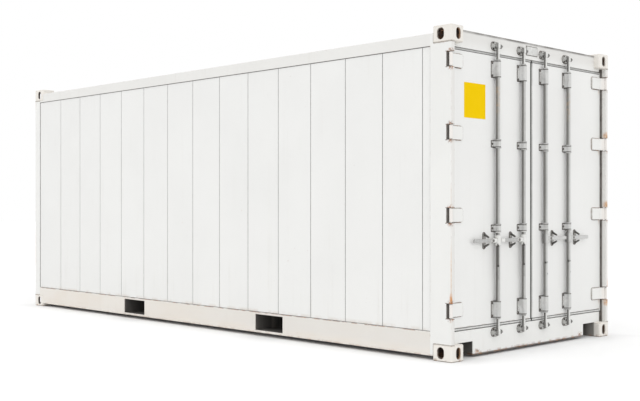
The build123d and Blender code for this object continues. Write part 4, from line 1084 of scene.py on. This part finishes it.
class AddBarFittings(bpy.types.Operator):
    """Adds the collars of the locking bars and the thin rods under their hubs"""

    bl_idname = "container.bar_fittings"
    bl_label = "Add collars and rods"

    def execute(self, context):
        inner = [(0.0125, 0.006, 0), (0.0125, -0.006, 0)]
        rim = [(0.0185, -0.006, 0), (0.0200, -0.004, 0), (0.0200, 0.004, 0), (0.0185, 0.006, 0)]
        collar = turned(inner[1:] + rim + inner, 24)
        wide = (collar[0] * (1.28, 1.28, 0.8), collar[1])
        tip = [(0.007, 0.008, 0), (0, 0.008, 0)]
        knob = turned([(0, -0.008, 0), (0.007, -0.008, 0), (0.009, 0, 0)] + tip)
        necks = (LONG_GUIDES[0] - 0.072, LONG_GUIDES[1] + 0.072)
        rings = either_side(SHORT_GUIDES, 0.0315)
        front = BAR_LINE + 0.016
        top = HANDLE_HEIGHT - 0.040
        knob_level = top - 0.165
        tail_level = top - 0.262
        for body, y in BARS.items():
            shapes = [
                placed(collar, [(BAR_LINE, y, z) for z in necks], *UPRIGHT),
                placed(wide, [(BAR_LINE, y, z) for z in rings], *UPRIGHT),
            ]
            fit(body + "_collars", shapes, body, "hub")
            if y < 0:
                left = y - 0.0235
                path = [
                    (front - 0.006, left + 0.006, top + 0.014),
                    (front, left, top - 0.008),
                    (front, left, knob_level),
                ]
                rod = carried(path, ring_profile(0.0048), TO_DOORS)
                spots = [(front, left, knob_level), (front, left, top - 0.004)]
                ends = placed(knob, spots, *UPRIGHT)
                fit(body + "_tether_rod", [rod, ends], body, "dark")
                path = [(front, left + 0.004, top - 0.172), (front, left + 0.008, tail_level)]
                tail = carried(path, ring_profile(0.0046), TO_DOORS)
                fit(body + "_tether_tail", [tail], body, "hub")
            else:
                spots = [
                    (BAR_LINE + 0.010, y - 0.0135, knob_level),
                    (BAR_LINE, y + 0.0230, knob_level),
                    (BAR_LINE, y + 0.0220, tail_level),
                ]
                clips = placed(knob, spots, *UPRIGHT)
                fit(body + "_clips", [clips], body, "dark")
        return {"FINISHED"}


class AddWelds(bpy.types.Operator):
    """Adds the weld beads round castings and hinge blades"""

    bl_idname = "container.welds"
    bl_label = "Add the weld beads"

    def execute(self, context):
        width = context.scene.container_fasteners.bead_width
        end, face = POST_HIGH[:2]
        shapes = []
        for hand in SIDES.values():
            outwards = (0, hand, 0)
            for z in (CASTING_TOP, CASTING_LOW):
                near_corner = (end, hand * face, z)
                far_corner = (-end, hand * face, z)
                runs = (
                    ((HALF_LENGTH - 0.172, hand * face, z), near_corner, outwards),
                    (near_corner, (end, hand * (JAMB_INNER + 0.002), z), TO_DOORS),
                    (far_corner, (-end + 0.098, hand * face, z), outwards),
                    (far_corner, (-end, hand * (face - 0.092), z), (-1, 0, 0)),
                )
                shapes += [weld([start, stop], out, width, 0.0037) for start, stop, out in runs]
        fit("casting_welds", shapes, "root", "bead")
        for side, hand in SIDES.items():
            near_edge, far_edge = hand * BLADE_ENDS[0], hand * (BLADE_ENDS[1] - 0.004)
            corner = hand * (BLADE_ENDS[0] + BLADE_CORNER)
            rise = BLADE_HALF - BLADE_CORNER
            low_half = ((far_edge, -BLADE_HALF), (corner, -BLADE_HALF), (near_edge, -rise))
            high_half = tuple((y, -lift) for y, lift in reversed(low_half))
            runs = []
            for z in HINGE_HEIGHTS:
                path = [(DOOR_FACE, y, z + lift) for y, lift in low_half + high_half]
                runs.append(weld(path, TO_DOORS, 0.011, 0.0045, 0.012))
            fit(side + "_blade_welds", runs, side + "_door", "rusty_bead")
        return {"FINISHED"}


class AddSeamStrips(bpy.types.Operator):
    """Adds the sealant in the seams of the walls and along rails and posts"""

    bl_idname = "container.seam_strips"
    bl_label = "Add the seam strips"

    def execute(self, context):
        seams = FIRST_SEAM - np.arange(SEAM_COUNT) * SEAM_PITCH
        section = half_round(0.0062, 0.0022)
        face = WALL_FACE - 0.003
        shapes = []
        for hand in SIDES.values():
            path = [(0, 0, SILL_TOP + 0.001), (0, 0, RAIL_LOW - 0.0005)]
            run = carried(path, section, (0, hand, 0))
            shapes.append(placed(run, [(x, hand * face, 0) for x in seams], *UPRIGHT))
        fit("wall_seam_sealant", shapes, "root", "sealant")
        section = half_round(0.005, 0.0035)
        shapes = []
        for hand in SIDES.values():
            level = [
                ((FAR_POST_FACE, z), (POST_LOW[0], z))
                for z in (SILL_TOP + 0.0015, RAIL_LOW - 0.0015)
            ]
            upright = [
                ((x, SILL_TOP + 0.004), (x, RAIL_LOW - 0.004))
                for x in (FAR_POST_FACE + 0.0015, POST_LOW[0] - 0.0015)
            ]
            for run in level + upright:
                path = [(x, hand * WALL_FACE, z) for x, z in run]
                shapes.append(carried(path, section, (0, hand, 0)))
        fit("rail_sealant", shapes, "root", "sealant")
        return {"FINISHED"}


def sealed(width, height, corner, spots):
    """Half-round bead round rounded rectangles that face the doors, at each of the spots."""
    outline = rounded(width, height, corner)
    path = np.concatenate([np.zeros((len(outline), 1)), outline], 1)
    bead = carried(path, half_round(0.0065, 0.0026), TO_DOORS, closed=True)
    return placed(bead, spots, *UPRIGHT)


class AddHardwareEdges(bpy.types.Operator):
    """Adds dark sealant round the feet of guides, catches and keepers: dirt together with painted
    contact shade
    """

    bl_idname = "container.hardware_edges"
    bl_label = "Add the sealant round the hardware"

    def execute(self, context):
        for side, hand in SIDES.items():
            lines = [hand * offset for offset in BAR_OFFSETS]
            tall = [(DOOR_FACE, y, z) for y in lines for z in LONG_GUIDES]
            short = [(DOOR_FACE, y, z) for y in lines for z in SHORT_GUIDES]
            catches = [(DOOR_FACE, y + hand * CATCH_REACH, HANDLE_HEIGHT) for y in lines]
            shapes = [
                sealed(0.108, 0.132, 0.003, tall),
                sealed(0.108, 0.054, 0.003, short),
                sealed(0.036, 0.130, 0.012, catches),
            ]
            fit(side + "_hardware_sealant", shapes, side + "_door", "stain")
        spots = [(DOOR_FACE, y, z) for y in BARS.values() for z in CAM_HEIGHTS]
        keepers = sealed(0.112, 0.068, 0.030, spots)
        fit("keeper_sealant", [keepers], "root", "stain")
        return {"FINISHED"}


class AddBarePlates(bpy.types.Operator):
    """Adds the bare plate on the header and the bare yellow label on the left door"""

    bl_idname = "container.bare_plates"
    bl_label = "Add the bare plates"

    def execute(self, context):
        middle = (DOOR_FACE, 0.0, PLATE_HEIGHT)
        tablet = placed(plate(0.166, 0.072, 0.010, 0.003, 0.001), [middle], *FACING_OUT)
        dome = [(0, 0, 0), (0.005, 0, 0), (0.0042, 0.0018, 0), (0.002, 0.003, 0), (0, 0.0032, 0)]
        rows = either_side([PLATE_HEIGHT], 0.026)
        spots = [(DOOR_FACE + 0.003, y, z) for y in (-0.073, 0.073) for z in rows]
        rivets = placed(turned(dome), spots, *FACING_OUT)
        fit("header_plate", [tablet, rivets], "root", "plate")
        # Dark bead round the header plate: dirt together with painted contact shade.
        turns = ((-0.084, -0.037), (0.084, -0.037), (0.084, 0.037), (-0.084, 0.037))
        path = [(DOOR_FACE, y, PLATE_HEIGHT + lift) for y, lift in turns]
        bead = carried(path, half_round(0.0075, 0.0028), TO_DOORS, closed=True)
        fit("header_plate_sealant", [bead], "root", "stain")
        film = plate(0.291, 0.278, 0.004, 0.0010, 0.0004)
        film = placed(film, [(DOOR_FACE, *LABEL_MIDDLE)], *FACING_OUT)
        fit("left_door_label", [film], "left_door", "label")
        return {"FINISHED"}


def soft_sun(name, place, aim, spread, strength):
    """Sun of a wide disc, turned so that its light runs from place to aim."""
    data = bpy.data.lights.new(name, "SUN")
    data.angle = math.radians(spread)
    data.energy = strength
    lamp = bpy.data.objects.new(name, data)
    run = np.array(place, float) - np.array(aim, float)
    turn = math.atan2(run[0], -run[1])
    tilt = math.atan2(math.hypot(run[0], run[1]), run[2])
    lamp.location = place
    lamp.rotation_euler = (tilt, 0.0, turn)
    bpy.context.scene.collection.objects.link(lamp)


def studio_floor():
    """Wide flat floor, which glows faintly beyond the container so that it fades to white."""
    corners = np.linspace(-60.0, 60.0, 3)
    across, along = np.meshgrid(corners, corners, indexing="ij")
    points = np.stack([across, along, np.zeros_like(across)], -1).reshape(-1, 3)
    mesh = bpy.data.meshes.new("studio_floor")
    mesh.from_pydata(points.tolist(), [], quads_between(3, 3, False, False).tolist())
    finish = Finish("studio floor")
    open_floor = finish.most(
        finish.fade(finish.far_x, HALF_LENGTH - 0.05, HALF_LENGTH + 0.30),
        finish.fade(finish.far_y, HALF_WIDTH - 0.05, HALF_WIDTH + 0.30),
    )
    glow = finish.times(finish.seen(), finish.scaled(open_floor, 0.105, 0.015))
    finish.join(WHITE, finish.shader.inputs["Emission Color"])
    finish.join(glow, finish.shader.inputs["Emission Strength"])
    tone = finish.mixed(finish.cloud(3.0), (0.84, 0.84, 0.84), (0.86, 0.86, 0.86))
    mesh.materials.append(finish.done(tone, 0.9))
    return bpy.data.objects.new("studio_floor", mesh)


def studio_sky(level):
    """Sky that lights evenly at a level and looks white itself."""
    sky = bpy.data.worlds.new("studio sky")
    nodes = Nodes(sky)
    glow = nodes.add("ShaderNodeBackground")
    nodes.join(WHITE, glow.inputs["Color"])
    nodes.join(nodes.blended(nodes.seen(), level, 1.0), glow.inputs["Strength"])
    output = nodes.add("ShaderNodeOutputWorld")
    nodes.join(glow.outputs[0], output.inputs["Surface"])
    return sky


def studio_camera(lens):
    """Level camera off the near door corner, shifted to frame the photograph's view."""
    data = bpy.data.cameras.new("studio camera")
    data.lens = lens
    data.sensor_width = 36.0
    data.shift_x = 0.1328
    data.shift_y = 0.0086
    data.clip_end = 200.0
    camera = bpy.data.objects.new("studio camera", data)
    camera.location = (7.57412, -7.56525, 1.19782)
    camera.rotation_euler = (math.pi / 2, 0.0, math.asin(0.7409))
    return camera


class BuildStage(bpy.types.Operator):
    """Adds the floor, the lamps, the sky and the camera"""

    bl_idname = "container.stage"
    bl_label = "Build the stage"

    def execute(self, context):
        scene = context.scene
        stage = scene.container_stage
        floor = studio_floor()
        scene.collection.objects.link(floor)
        scene.world = studio_sky(stage.sky_level)
        soft_sun("key sun", (10.0, -0.8, 7.5), (3.0, 0.0, 1.2), 75.0, stage.key_strength)
        soft_sun("fill sun", (-1.0, -9.0, 9.5), (0.0, -1.2, 1.2), 80.0, stage.fill_strength)
        camera = studio_camera(stage.lens)
        scene.collection.objects.link(camera)
        scene.camera = camera
        scene.view_settings.view_transform = "Standard"
        return {"FINISHED"}


STEPS = (
    PaintContainer,
    AddBolts,
    AddSealLips,
    AddBarFittings,
    AddWelds,
    AddSeamStrips,
    AddHardwareEdges,
    AddBarePlates,
    BuildStage,
)


class ContainerPanel(bpy.types.Panel):
    """Lists the steps that fit out the container"""

    bl_idname = "VIEW3D_PT_container"
    bl_label = "Container"
    bl_space_type = "VIEW_3D"
    bl_region_type = "UI"
    bl_category = "Container"

    def draw(self, context):
        for step in STEPS:
            self.layout.operator(step.bl_idname)


SETTINGS = {
    "container_paint": PaintSettings,
    "container_fasteners": FastenerSettings,
    "container_stage": StageSettings,
}


def register():
    for name, kind in SETTINGS.items():
        bpy.utils.register_class(kind)
        setattr(bpy.types.Scene, name, bpy.props.PointerProperty(type=kind))
    for step in STEPS:
        bpy.utils.register_class(step)
    bpy.utils.register_class(ContainerPanel)


def unregister():
    bpy.utils.unregister_class(ContainerPanel)
    for step in reversed(STEPS):
        bpy.utils.unregister_class(step)
    for name, kind in SETTINGS.items():
        delattr(bpy.types.Scene, name)
        bpy.utils.unregister_class(kind)


def main():
    register()
    for step in STEPS:
        getattr(bpy.ops.container, step.bl_idname.split(".")[1])()


if __name__ == "__main__":
    main()
